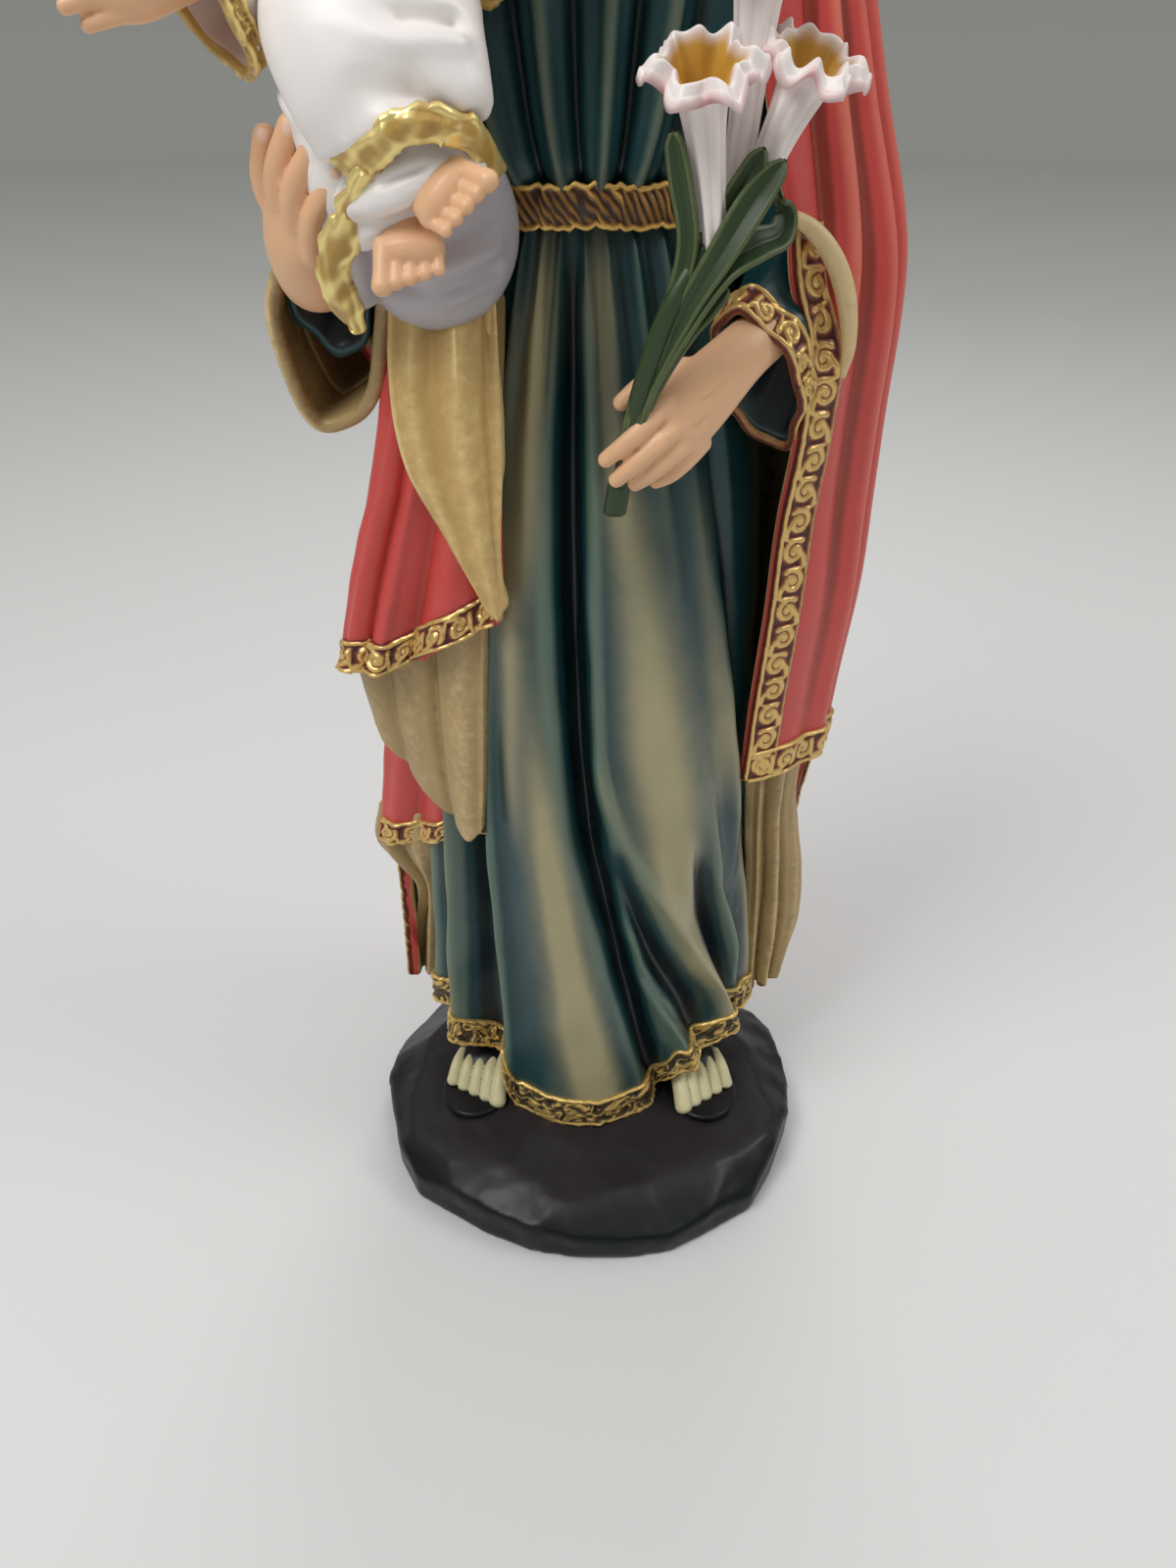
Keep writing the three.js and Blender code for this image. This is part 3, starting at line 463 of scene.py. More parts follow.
def borderPiece(name, front, width, pitch, material, ornament=scrollRelief, start=0.0, end=1.0, flip=False,
                cords=(1, 1), seed=1, rough=0.1):
    s = borderSettings
    overhang = front[:1] + unit(front[:1] - front[1:2]) * s["over"]
    points, u, v = edgeStrip(np.concatenate([overhang, front]), width, s["step"], start, end)
    normal = gridNormals(points) * (-1 if flip else 1)
    pattern = ornament(u, v, width, pitch, seed)
    cord = s["cord"]
    edgeLow = cords[0] * np.sqrt(np.clip(1 - ((v - cord) / cord) ** 2, 0, 1))
    edgeHigh = cords[1] * np.sqrt(np.clip(1 - ((v - width + cord) / cord) ** 2, 0, 1))
    height = np.maximum.reduce([pattern, edgeLow, edgeHigh])
    uneven = wobble(points.reshape(-1, 3), 1.3, seed).reshape(height.shape)
    top = points + normal * (s["lift"] + s["relief"] * height + rough * uneven * 0.5)[..., None]
    under = points - normal * 0.35
    ring = np.concatenate([top, under[::-1]])
    gilt = np.concatenate([height, np.full(height.shape, 0.5)])
    rings = np.swapaxes(ring, 0, 1)
    paint = np.swapaxes(gilt, 0, 1)
    return loftPiece(name, rings, material, paint * 1.6 - 0.8, {"gilt": paint})


# paint

def paint(red, green, blue):
    # a colour as the eye reads it, 0 to 255, made linear
    value = np.array([red, green, blue]) / 255
    linear = np.where(value < 0.04045, value / 12.92, ((value + 0.055) / 1.055) ** 2.4)
    return (*linear.tolist(), 1.0)


def newGroup(name, inputs, outputs):
    group = bpy.data.node_groups.new(name, "ShaderNodeTree")
    for label, kind, value in inputs:
        group.interface.new_socket(label, in_out="INPUT",
                                   socket_type="NodeSocket" + kind).default_value = value
    for label, kind in outputs:
        group.interface.new_socket(label, in_out="OUTPUT", socket_type="NodeSocket" + kind)
    return group, group.nodes.new("NodeGroupInput").outputs, group.nodes.new("NodeGroupOutput").inputs


def feed(tree, socket, value):
    if isinstance(value, bpy.types.NodeSocket):
        tree.links.new(value, socket)
    else:
        socket.default_value = value


def maths(tree, operation, first, second=0.0):
    node = tree.nodes.new("ShaderNodeMath")
    node.operation = operation
    feed(tree, node.inputs[0], first)
    feed(tree, node.inputs[1], second)
    return node.outputs[0]


def between(tree, value, low, high):
    node = tree.nodes.new("ShaderNodeMapRange")
    node.interpolation_type = "SMOOTHSTEP"
    feed(tree, node.inputs["Value"], value)
    feed(tree, node.inputs["From Min"], low)
    feed(tree, node.inputs["From Max"], high)
    return node.outputs["Result"]


def blend(tree, share, first, second, kind="MIX"):
    node = tree.nodes.new("ShaderNodeMix")
    node.data_type = "RGBA"
    node.blend_type = kind
    feed(tree, node.inputs["Factor"], share)
    feed(tree, node.inputs["A"], first)
    feed(tree, node.inputs["B"], second)
    return node.outputs["Result"]


def grain(tree, scale, detail=4.0, rough=0.6):
    place = tree.nodes.new("ShaderNodeTexCoord")
    noise = tree.nodes.new("ShaderNodeTexNoise")
    tree.links.new(place.outputs["Object"], noise.inputs["Vector"])
    feed(tree, noise.inputs["Scale"], scale)
    noise.inputs["Detail"].default_value = detail
    noise.inputs["Roughness"].default_value = rough
    return noise.outputs["Fac"]


def reading(tree, name):
    node = tree.nodes.new("ShaderNodeAttribute")
    node.attribute_name = name
    return node.outputs["Fac"]


def brushworkAndShadingGroup():
    # ground colour, a darker colour in the hollows that is painted shade, and a lighter one on the crests
    # that is partly dry brushed paint and partly painted highlight; on the gilt borders the crest colour is
    # the gold of the raised work
    group, given, made = newGroup("brushworkAndShading", [
        ("Relief", "Float", 0.0), ("Ground", "Color", (0.5, 0.5, 0.5, 1)), ("Hollow Shade", "Color", (0, 0, 0, 1)),
        ("Crest", "Color", (1, 1, 1, 1)), ("Crest From", "Float", 0.3), ("Crest To", "Float", 1.2),
        ("Hollow From", "Float", 0.2), ("Hollow To", "Float", 1.2), ("Scatter", "Float", 0.6),
        ("Fineness", "Float", 600.0), ("Uneven", "Float", 0.15),
    ], [("Color", "Color"), ("Crest Mask", "Float")])
    fine = maths(group, "SUBTRACT", grain(group, given["Fineness"], 5.0, 0.7), 0.5)
    broad = maths(group, "SUBTRACT", grain(group, 110.0, 3.0), 0.5)
    scattered = maths(group, "ADD", given["Relief"], maths(group, "MULTIPLY", fine, given["Scatter"]))
    crest = between(group, scattered, given["Crest From"], given["Crest To"])
    sunk = maths(group, "MULTIPLY", scattered, -1.0)
    hollowShade = between(group, sunk, given["Hollow From"], given["Hollow To"])
    tone = maths(group, "ADD", 1.0, maths(group, "MULTIPLY", broad, given["Uneven"]))
    ground = group.nodes.new("ShaderNodeVectorMath")
    ground.operation = "SCALE"
    group.links.new(given["Ground"], ground.inputs[0])
    group.links.new(tone, ground.inputs["Scale"])
    base = blend(group, hollowShade, ground.outputs[0], given["Hollow Shade"])
    group.links.new(blend(group, crest, base, given["Crest"]), made["Color"])
    group.links.new(crest, made["Crest Mask"])
    return group


def toothGroup():
    # height of the brush marks and of the casting's own fine unevenness
    group, given, made = newGroup("tooth", [("Fineness", "Float", 900.0)], [("Height", "Float")])
    fine = grain(group, given["Fineness"], 4.0, 0.65)
    broad = grain(group, 240.0, 2.0)
    group.links.new(maths(group, "ADD", maths(group, "MULTIPLY", fine, 0.5), broad), made["Height"])
    return group


brushworkAndShading, tooth = brushworkAndShadingGroup(), toothGroup()


def addGroup(tree, group, values):
    node = tree.nodes.new("ShaderNodeGroup")
    node.node_tree = group
    for key, value in values.items():
        feed(tree, node.inputs[key], value)
    return node


def paintMaterial(name, s):
    material = bpy.data.materials.new(name)
    material.use_nodes = True
    tree = material.node_tree
    shader = tree.nodes["Principled BSDF"]
    relief = reading(tree, "relief")
    # the relief guides painted shade into the hollows and painted highlight onto the crests
    brushedAndShaded = addGroup(tree, brushworkAndShading, {
        "Relief": relief, "Ground": s["ground"], "Hollow Shade": s["hollowShade"], "Crest": s["crest"],
        "Crest From": s["crestAt"][0], "Crest To": s["crestAt"][1],
        "Hollow From": s["hollowAt"][0], "Hollow To": s["hollowAt"][1],
        "Scatter": s.get("scatter", 0.5), "Fineness": s.get("fineness", 600.0),
        "Uneven": s.get("uneven", 0.2),
    })
    colour = brushedAndShaded.outputs["Color"]
    for label, tint in s.get("washes", {}).items():
        mottle = maths(tree, "SUBTRACT", grain(tree, 420.0), 0.5)
        mottle = maths(tree, "MULTIPLY", mottle, s.get("washScatter", 0.3))
        share = maths(tree, "ADD", reading(tree, label), mottle)
        share = between(tree, share, s.get("washFrom", 0.12), s.get("washTo", 0.9))
        colour = blend(tree, share, colour, tint)
    tree.links.new(colour, shader.inputs["Base Color"])
    shader.inputs["Roughness"].default_value = s.get("roughness", 0.4)
    shader.inputs["Specular IOR Level"].default_value = s.get("specular", 0.5)
    shader.inputs["Coat Weight"].default_value = s.get("coat", 0.0)
    shader.inputs["Coat Roughness"].default_value = s.get("coatRoughness", 0.25)
    if s.get("metal"):
        metal = maths(tree, "MULTIPLY", brushedAndShaded.outputs["Crest Mask"], s["metal"])
        tree.links.new(metal, shader.inputs["Metallic"])
    if s.get("soft"):
        shader.inputs["Subsurface Weight"].default_value = s["soft"]
        shader.inputs["Subsurface Radius"].default_value = (1.0, 0.4, 0.2)
        shader.inputs["Subsurface Scale"].default_value = 0.0012
    height = addGroup(tree, tooth, {"Fineness": s.get("toothFineness", 900.0)})
    bump = tree.nodes.new("ShaderNodeBump")
    bump.inputs["Strength"].default_value = s.get("tooth", 0.12)
    bump.inputs["Distance"].default_value = 0.0004
    tree.links.new(height.outputs["Height"], bump.inputs["Height"])
    tree.links.new(bump.outputs["Normal"], shader.inputs["Normal"])
    return material


# each look: a ground colour, the painted shade of the hollows, the crest colour (painted highlight with dry
# brushing, or the gold of raised gilt work) and where each sets in
robeLook = {
    "ground": paint(18, 60, 64), "hollowShade": paint(6, 26, 30), "crest": paint(84, 108, 96),
    "crestAt": (0.75, 2.8), "hollowAt": (0.3, 2.0), "scatter": 0.35, "uneven": 0.35,
    "washes": {"beigeAndHighlight": paint(170, 160, 122)}, "washScatter": 0.12, "washFrom": 0.0, "washTo": 1.0,
    "roughness": 0.36, "coat": 0.12, "tooth": 0.1,
}
mantleLook = {
    "ground": paint(204, 72, 66), "hollowShade": paint(146, 48, 30), "crest": paint(222, 112, 92),
    "crestAt": (0.5, 2.2), "hollowAt": (0.2, 1.1), "scatter": 0.5, "uneven": 0.35,
    "roughness": 0.42, "coat": 0.15, "tooth": 0.15,
}
liningLook = {
    "ground": paint(172, 146, 98), "hollowShade": paint(104, 82, 54), "crest": paint(224, 198, 148),
    "crestAt": (0.1, 1.2), "hollowAt": (0.15, 1.2), "scatter": 1.5, "fineness": 900.0, "uneven": 0.5,
    "roughness": 0.45, "tooth": 0.3,
}
redGiltLook = {
    "ground": paint(136, 66, 44), "hollowShade": paint(76, 30, 24), "crest": paint(226, 190, 118),
    "crestAt": (-0.25, 0.3), "hollowAt": (0.3, 0.8), "scatter": 0.5, "fineness": 1100.0, "uneven": 0.3,
    "metal": 0.55, "roughness": 0.34, "tooth": 0.25,
}
darkGiltLook = {
    "ground": paint(88, 70, 42), "hollowShade": paint(28, 36, 32), "crest": paint(226, 190, 112),
    "crestAt": (-0.25, 0.35), "hollowAt": (0.2, 0.75), "scatter": 0.6, "fineness": 1100.0, "uneven": 0.3,
    "metal": 0.6, "roughness": 0.34, "tooth": 0.25,
}
beltLook = {
    "ground": paint(150, 104, 44), "hollowShade": paint(54, 34, 16), "crest": paint(240, 196, 108),
    "crestAt": (-0.1, 0.8), "hollowAt": (0.2, 0.8), "scatter": 0.5, "metal": 0.6, "roughness": 0.36,
    "tooth": 0.2,
}
brushedGoldLook = {
    "ground": paint(194, 158, 96), "hollowShade": paint(126, 80, 42), "crest": paint(248, 222, 156),
    "crestAt": (-0.3, 0.8), "hollowAt": (0.3, 1.2), "scatter": 1.1, "fineness": 700.0, "metal": 0.45,
    "roughness": 0.38, "tooth": 0.25,
}
fleshLook = {
    "ground": paint(234, 186, 144), "hollowShade": paint(190, 116, 78), "crest": paint(244, 206, 168),
    "crestAt": (0.3, 1.6), "hollowAt": (0.1, 0.9), "scatter": 0.15, "uneven": 0.08,
    "washes": {"blush": paint(214, 128, 108), "lips": paint(206, 122, 104), "brows": paint(84, 56, 38),
               "whites": paint(240, 234, 222), "irises": paint(58, 42, 30), "nails": paint(244, 206, 184)},
    "washScatter": 0.06, "roughness": 0.42, "soft": 0.15, "tooth": 0.05,
}
toeLook = dict(fleshLook, ground=paint(206, 198, 156), hollowShade=paint(84, 76, 54), crest=paint(228, 224, 194),
               washes={}, crestAt=(0.1, 0.9), hollowAt=(0.0, 0.6), scatter=0.4)
gownGiltLook = {
    "ground": paint(188, 150, 76), "hollowShade": paint(112, 78, 34), "crest": paint(248, 226, 150),
    "crestAt": (-0.1, 0.8), "hollowAt": (0.2, 0.9), "scatter": 0.4, "metal": 0.6, "roughness": 0.32,
    "tooth": 0.15,
}
gownLook = {
    "ground": paint(244, 238, 235), "hollowShade": paint(196, 164, 150), "crest": paint(250, 248, 244),
    "crestAt": (0.2, 1.2), "hollowAt": (0.15, 1.2), "scatter": 0.2, "uneven": 0.1,
    "washes": {"shade": paint(186, 180, 186)}, "washScatter": 0.5, "roughness": 0.4, "coat": 0.1,
    "tooth": 0.1,
}
hairLook = {
    "ground": paint(94, 60, 38), "hollowShade": paint(42, 26, 18), "crest": paint(142, 98, 62),
    "crestAt": (0.2, 1.2), "hollowAt": (0.1, 0.8), "scatter": 0.4, "uneven": 0.3, "roughness": 0.42,
    "tooth": 0.15,
}
childHairLook = dict(hairLook, ground=paint(128, 88, 54), hollowShade=paint(64, 40, 24),
                     crest=paint(176, 132, 84))
petalLook = {
    "ground": paint(246, 236, 232), "hollowShade": paint(216, 176, 166), "crest": paint(250, 246, 240),
    "crestAt": (0.3, 1.2), "hollowAt": (0.2, 1.2), "scatter": 0.3,
    "washes": {"throat": paint(204, 156, 62), "pink": paint(226, 160, 160)}, "washScatter": 0.2,
    "roughness": 0.4, "tooth": 0.08,
}
leafLook = {
    "ground": paint(46, 66, 34), "hollowShade": paint(22, 36, 20), "crest": paint(126, 134, 84),
    "crestAt": (0.5, 1.4), "hollowAt": (0.2, 1.0), "scatter": 0.4, "roughness": 0.42, "tooth": 0.1,
}
rockLook = {
    "ground": paint(21, 20, 21), "hollowShade": paint(8, 9, 10), "crest": paint(46, 43, 44),
    "crestAt": (0.5, 1.8), "hollowAt": (0.1, 0.9), "scatter": 0.6, "uneven": 0.6,
    "washes": {"top": paint(40, 36, 40), "side": paint(12, 18, 20)}, "washScatter": 0.3,
    "roughness": 0.36, "specular": 0.22, "coat": 0.06, "coatRoughness": 0.2, "tooth": 0.12,
    "toothFineness": 500.0,
}
robePaint = paintMaterial("robePaint", robeLook)
mantlePaint = paintMaterial("mantlePaint", mantleLook)
liningPaint = paintMaterial("liningPaint", liningLook)
redGilt = paintMaterial("redGilt", redGiltLook)
darkGilt = paintMaterial("darkGilt", darkGiltLook)
beltGilt = paintMaterial("beltGilt", beltLook)
brushedGold = paintMaterial("brushedGold", brushedGoldLook)
gownGilt = paintMaterial("gownGilt", gownGiltLook)
fleshPaint = paintMaterial("fleshPaint", fleshLook)
toePaint = paintMaterial("toePaint", toeLook)
gownPaint = paintMaterial("gownPaint", gownLook)
hairPaint = paintMaterial("hairPaint", hairLook)
childHairPaint = paintMaterial("childHairPaint", childHairLook)
petalPaint = paintMaterial("petalPaint", petalLook)
leafPaint = paintMaterial("leafPaint", leafLook)
rockPaint = paintMaterial("rockPaint", rockLook)
print("paints mixed")


# robe below the belt

robeSettings = {"rows": 240, "columns": 380, "beltHeight": 125.4, "hemThickness": 1.3, "foldDepth": 1.0}
skirtForm = along([
    [9, 0.6, 5, 22.8, 14.6, 16], [24, 0.4, 5, 21.4, 15.4, 15.6], [47, 0.3, 5, 20.6, 16.2, 15],
    [65, 0.3, 4.6, 20.4, 16.4, 14.4], [95, 0.2, 4, 19.4, 15.6, 13], [112, 0, 3.6, 17, 13.6, 12],
    [125, 0, 3.4, 14, 11.6, 10.6],
])
skirtFolds = [
    # the broad panel down the middle and the hollows on its two sides
    fold([[9, -4], [24, -4], [52, -15], [78, -20], [118, -17]], [[9, 18], [52, 12], [118, 8]],
         [[9, 2.4], [60, 2.0], [100, 1.1], [122, 0]], 2.6),
    fold([[9, -31], [20, -31], [45, -35], [60, -37], [78, -33], [95, -29], [120, -27]],
         [[9, 3.4], [60, 3.4], [120, 2.6]],
         [[9, 0.5], [26, 0.9], [58, 1.3], [90, 0.8], [118, 0]]),
    fold([[9, -43], [60, -46], [120, -40]], [[9, 8], [120, 6]],
         [[9, -3.6], [60, -3.8], [100, -1.4], [120, 0]], 3.0),
    fold([[9, 28], [26, 19], [44, 8], [58, 0], [89, -6], [118, -5]], [[9, 5], [40, 5], [118, 3.4]],
         [[9, -2.8], [40, -4.2], [85, -4.0], [112, -1.8], [122, 0]], 2.6),
    fold([[9, 31], [26, 22.5], [44, 11.5], [58, 3.4], [89, -3]], [[9, 3.4], [89, 3]],
         [[12, 0.7], [40, 1.3], [75, 1.1], [90, 0]]),
    # the bent knee, and the cloth pulled away below it
    fold([[40, 34], [56, 32], [64, 28], [84, 19], [105, 13]], [[40, 15], [84, 15], [105, 12]],
         [[24, 0], [42, 1], [58, 3.8], [84, 2.6], [108, 0.6], [118, 0]]),
    fold([[12, 66], [25, 56], [38, 36], [54, 15], [72, -3]], [[12, 7], [25, 6], [54, 4.4]],
         [[12, 1.0], [25, 2.6], [51, 2.3], [66, 1.2], [76, 0]], 1.6),
    fold([[12, 50], [25, 41], [37, 24], [52, 9]], [[12, 4.6], [37, 4], [52, 3]],
         [[12, -0.6], [24, -2.2], [44, -2.2], [56, 0]]),
    fold([[12, 42], [22, 33], [34, 17]], [[12, 3], [34, 2.4]], [[10, 0.4], [20, 1.2], [34, 0.9], [42, 0]]),
    fold([[14, 74], [33, 56], [48, 40], [62, 30]], [[14, 5], [48, 4]],
         [[12, -1.4], [33, -2.6], [48, -1.8], [62, 0]]),
    fold([[12, 82], [33, 64], [48, 48], [60, 40]], [[14, 4], [60, 3.4]],
         [[12, 0.8], [33, 1.6], [48, 1.2], [64, 0]]),
    fold([[14, 90], [33, 78], [70, 50], [90, 42]], [[14, 7], [70, 6]],
         [[12, 1.4], [33, 1.8], [70, 1.6], [96, 0]]),
    fold([[30, 72], [70, 60], [100, 44]], [[30, 5], [100, 4]],
         [[30, -0.8], [60, -1.5], [100, -0.6], [110, 0]]),
    # the far left and the back
    fold([[9, -57], [60, -56]], [[9, 3.6], [60, 3.2]], [[9, 2.2], [60, 1.8], [84, 0]]),
    fold([[9, -66], [60, -65]], [[9, 4], [60, 3.6]], [[9, -1.6], [60, -1.4], [84, 0]]),
    fold([[9, -76], [60, -72]], [[9, 6], [60, 6]], [[9, 1.6], [60, 1.4], [90, 0]]),
    fold([[9, 128], [110, 122]], [[9, 8], [110, 7]], [[9, -1.8], [80, -1], [115, 0]]),
    fold([[9, 160], [110, 156]], [[9, 8], [110, 7]], [[9, -2.0], [80, -1], [115, 0]]),
    fold([[9, 200], [110, 204]], [[9, 8], [110, 7]], [[9, -2.0], [80, -1], [115, 0]]),
    fold([[9, 236], [110, 240]], [[9, 8], [110, 7]], [[9, -1.8], [80, -1], [115, 0]]),
    # pleats gathered under the belt
    fold([[98, -28], [124, -23]], [[98, 3], [124, 2]], [[98, 0], [110, 0.7], [121, 1.0], [125, 0.2]]),
    fold([[90, -20], [124, -15.5]], [[90, 3], [124, 2]], [[90, 0], [108, 0.8], [120, 1.1], [125, 0.2]]),
    fold([[100, -12.5], [124, -9.5]], [[100, 1.6], [124, 1.4]],
         [[100, 0], [112, 0.6], [121, 0.9], [125, 0.2]]),
    fold([[92, 2], [124, -1]], [[92, 3], [124, 2]], [[88, 0.2], [108, 0.9], [120, 1.1], [125, 0.2]]),
    fold([[84, 12], [124, 6.5]], [[92, 4], [124, 2]], [[84, 0], [108, 0.8], [120, 1.0], [125, 0.2]]),
    fold([[84, 26], [124, 16]], [[92, 4], [124, 2.4]], [[84, 0], [108, 0.9], [120, 1.2], [125, 0.2]]),
    fold([[84, 38], [124, 27]], [[92, 4], [124, 3]], [[84, 0], [108, 0.9], [120, 1.2], [125, 0.2]]),
    fold([[84, 54], [124, 42]], [[92, 4], [124, 3]], [[84, 0], [108, 0.7], [120, 1.0], [125, 0.2]]),
]
beigeHighlightFolds = [
    # beige on the knee, the panel's crest and the ridges below: partly the robe's own airbrushed beige,
    # partly painted highlight where these face the light
    fold([[52, 27], [64, 22], [84, 15], [100, 10]], [[46, 7], [78, 8], [100, 6]],
         [[42, 0], [52, 0.5], [66, 0.68], [80, 0.5], [96, 0.25], [108, 0]]),
    fold([[34, 38], [46, 32], [56, 28]], [[34, 7], [56, 7]], [[28, 0], [38, 0.4], [50, 0.5], [60, 0]]),
    fold([[14, 2], [24, -2], [52, -12], [70, -17]], [[14, 7], [40, 5], [64, 4]],
         [[11, 0.3], [17, 1.0], [30, 0.95], [50, 0.75], [66, 0.35], [80, 0]]),
    fold([[60, -26], [100, -24]], [[60, 4], [100, 5]],
         [[54, 0], [66, 0.4], [90, 0.45], [110, 0.3], [120, 0]]),
    fold([[12, 64], [25, 57], [38, 38]], [[12, 6], [38, 4]], [[10, 0.3], [22, 0.75], [36, 0.6], [48, 0]]),
    fold([[14, 88], [40, 76], [70, 52]], [[12, 6], [70, 5]], [[10, 0.3], [22, 0.5], [50, 0.5], [84, 0]]),
    fold([[92, -18], [122, -15]], [[92, 4], [122, 5]], [[86, 0], [100, 0.5], [116, 0.6], [124, 0.2]]),
    fold([[92, 8], [122, 4]], [[92, 4], [122, 5]], [[90, 0], [104, 0.4], [118, 0.5], [124, 0.2]]),
    fold([[60, 48], [100, 34]], [[60, 5], [100, 5]], [[56, 0], [70, 0.35], [90, 0.3], [104, 0]]),
]


def hemHeight(bearing):
    left = ramp(-27, -34, bearing) * (5 + 7 * ramp(-40, -72, bearing)) * ramp(-130, -88, bearing)
    right = ramp(23, 34, bearing) * (5.5 + 4.5 * ramp(34, 68, bearing)) * ramp(130, 92, bearing)
    return 9.8 + left + right


def ellipsePoint(form, bearing, out, z):
    cx, cy, wide, front, back = [form[..., k] for k in range(5)]
    turn = np.radians(bearing)
    deep = np.where(np.cos(turn) > 0, front, back)
    return np.stack([cx + (wide + out) * np.sin(turn), cy - (deep + out) * np.cos(turn), z + 0 * turn], -1)


def skirtSurface(z, bearing, less=0.0):
    folds = foldHeight(skirtFolds, z, bearing) * robeSettings["foldDepth"]
    return ellipsePoint(skirtForm(z), bearing, folds - less, z), folds


def skirtBearings(count):
    dense = np.linspace(-78, 98, int(count * 0.72))
    rest = np.linspace(98, 282, count - len(dense) + 2)[1:-1]
    return np.concatenate([dense, np.where(rest > 180, rest - 360, rest)])


def buildSkirt(s):
    bearing = skirtBearings(s["columns"])[None, :]
    t = np.linspace(0, 1, s["rows"])[:, None]
    z = mix(hemHeight(bearing), s["beltHeight"], t)
    bearing = bearing + 0 * z
    outer, folds = skirtSurface(z, bearing)
    uneven = wobble(outer.reshape(-1, 3), 9, 3).reshape(z.shape) * 0.12
    outer = outer + gridNormals(outer) * -uneven[..., None]
    inside = [skirtSurface(z[0] + lift, bearing[0], s["hemThickness"])[0] for lift in (7, 0.4)]
    rings = np.concatenate([np.array(inside), outer])
    drift = wobble(outer.reshape(-1, 3), 16, 5).reshape(z.shape)
    # the robe's beige airbrushing together with a painted highlight, stronger on the higher folds
    beigeAndHighlight = foldHeight(beigeHighlightFolds, z, bearing) + 0.3 * ramp(0.4, 2.4, folds) + 0.06 * drift
    pad = np.zeros((2, z.shape[1]))
    slope = folds - 0.5 * (np.roll(folds, 9, axis=1) + np.roll(folds, -9, axis=1))
    # the inside of the hem is set low in relief, so it takes the painted shade of the hollows
    loftPiece("skirt", rings, robePaint, np.concatenate([pad - 1.5, folds * 0.25 + slope * 1.5]),
              {"beigeAndHighlight": np.concatenate([pad, np.clip(beigeAndHighlight, 0, 0.85)])})
    return outer


skirtGrid = buildSkirt(robeSettings)
print("skirt")


def leafRelief(u, v, width, pitch, seed=1):
    # crumpled leaves: ridges that wander across the band
    spot = np.stack([u, v, 0 * u], -1).reshape(-1, 3)
    bent = spot + np.stack([wobble(spot, 3.4, seed), wobble(spot, 3.4, seed + 1), 0 * spot[:, 0]], -1) * 0.7
    ridge = 1 - np.abs(wobble(bent, pitch, seed + 2)) * 1.1
    small = 1 - np.abs(wobble(bent, pitch * 0.45, seed + 3)) * 1.1
    height = 0.75 * np.maximum(ridge, 0) ** 1.5 + 0.35 * np.maximum(small, 0)
    return np.clip(height, 0, 1.1).reshape(u.shape)


def hatchRelief(u, v, width, pitch, seed=1):
    spots = np.stack([u, v * 0.6, 0 * u], -1).reshape(-1, 3)
    drift, depth = wobble(spots, 5, seed).reshape(u.shape), wobble(spots, 1.8, seed + 1).reshape(u.shape)
    slant = np.sin((u + v * 0.7 + drift * 0.35) * 2 * pi / pitch)
    return 0.2 + (0.3 + 0.15 * depth) * slant + 0.12 * depth


borderPiece("hemBand", skirtGrid[:60], 5.0, 2.3, darkGilt, leafRelief, 0.0, 1.0, seed=4, rough=0.15)
print("hem band")


# robe above the belt

chestForm = along([
    [126.4, 0, 3.4, 14.0, 11.6, 10.6], [127.4, 0, 3.4, 15.6, 13.1, 10.9], [129.4, 0, 3.4, 17, 14.2, 11.1],
    [134, 0, 3.6, 18, 14.4, 11.4], [146, 0, 3.8, 20, 14, 11.6], [156, 0, 4, 20, 12.4, 11],
    [162, 0, 4, 16.6, 10, 9.6], [166.5, 0, 3.6, 9.5, 7.4, 8], [168.5, 0, 3.2, 7, 6.2, 6.6],
])
chestFolds = [
    fold([[124, -20], [134, -29], [160, -34]], [[124, 2.2], [160, 3.6]],
         [[124, 0.9], [140, 1.3], [160, 0.4]]),
    fold([[124, -13], [134, -19], [160, -24]], [[124, 1.8], [160, 3]],
         [[124, -0.9], [140, -1.2], [160, -0.3]]),
    fold([[124, -7], [134, -11], [160, -14]], [[124, 2], [160, 3.4]], [[124, 0.9], [140, 1.2], [160, 0.4]]),
    fold([[124, -1], [134, -3.5], [160, -4]], [[124, 1.6], [160, 3]],
         [[124, -0.9], [140, -1.1], [160, -0.4]]),
    fold([[124, 4], [134, 5], [160, 7]], [[124, 1.8], [160, 3.4]], [[124, 0.9], [140, 1.3], [160, 0.4]]),
    fold([[124, 9], [134, 12.5], [160, 17]], [[124, 1.8], [160, 3]],
         [[124, -0.9], [140, -1.2], [160, -0.4]]),
    fold([[124, 14], [134, 20], [160, 27]], [[124, 2], [160, 3.6]], [[124, 0.9], [140, 1.3], [160, 0.4]]),
    fold([[124, 22], [134, 29], [160, 38]], [[124, 2], [160, 4]], [[124, -0.8], [140, -1.0], [160, -0.3]]),
    fold([[124, 30], [134, 38], [160, 50]], [[124, 3], [160, 5]], [[124, 0.8], [140, 1.0], [160, 0.3]]),
    fold([[124, -34], [134, -42], [160, -50]], [[124, 3], [160, 5]], [[124, 0.6], [140, 0.9], [160, 0.3]]),
]


chestSettings = {"rows": 150, "columns": 360, "low": 126.4, "high": 168.5}


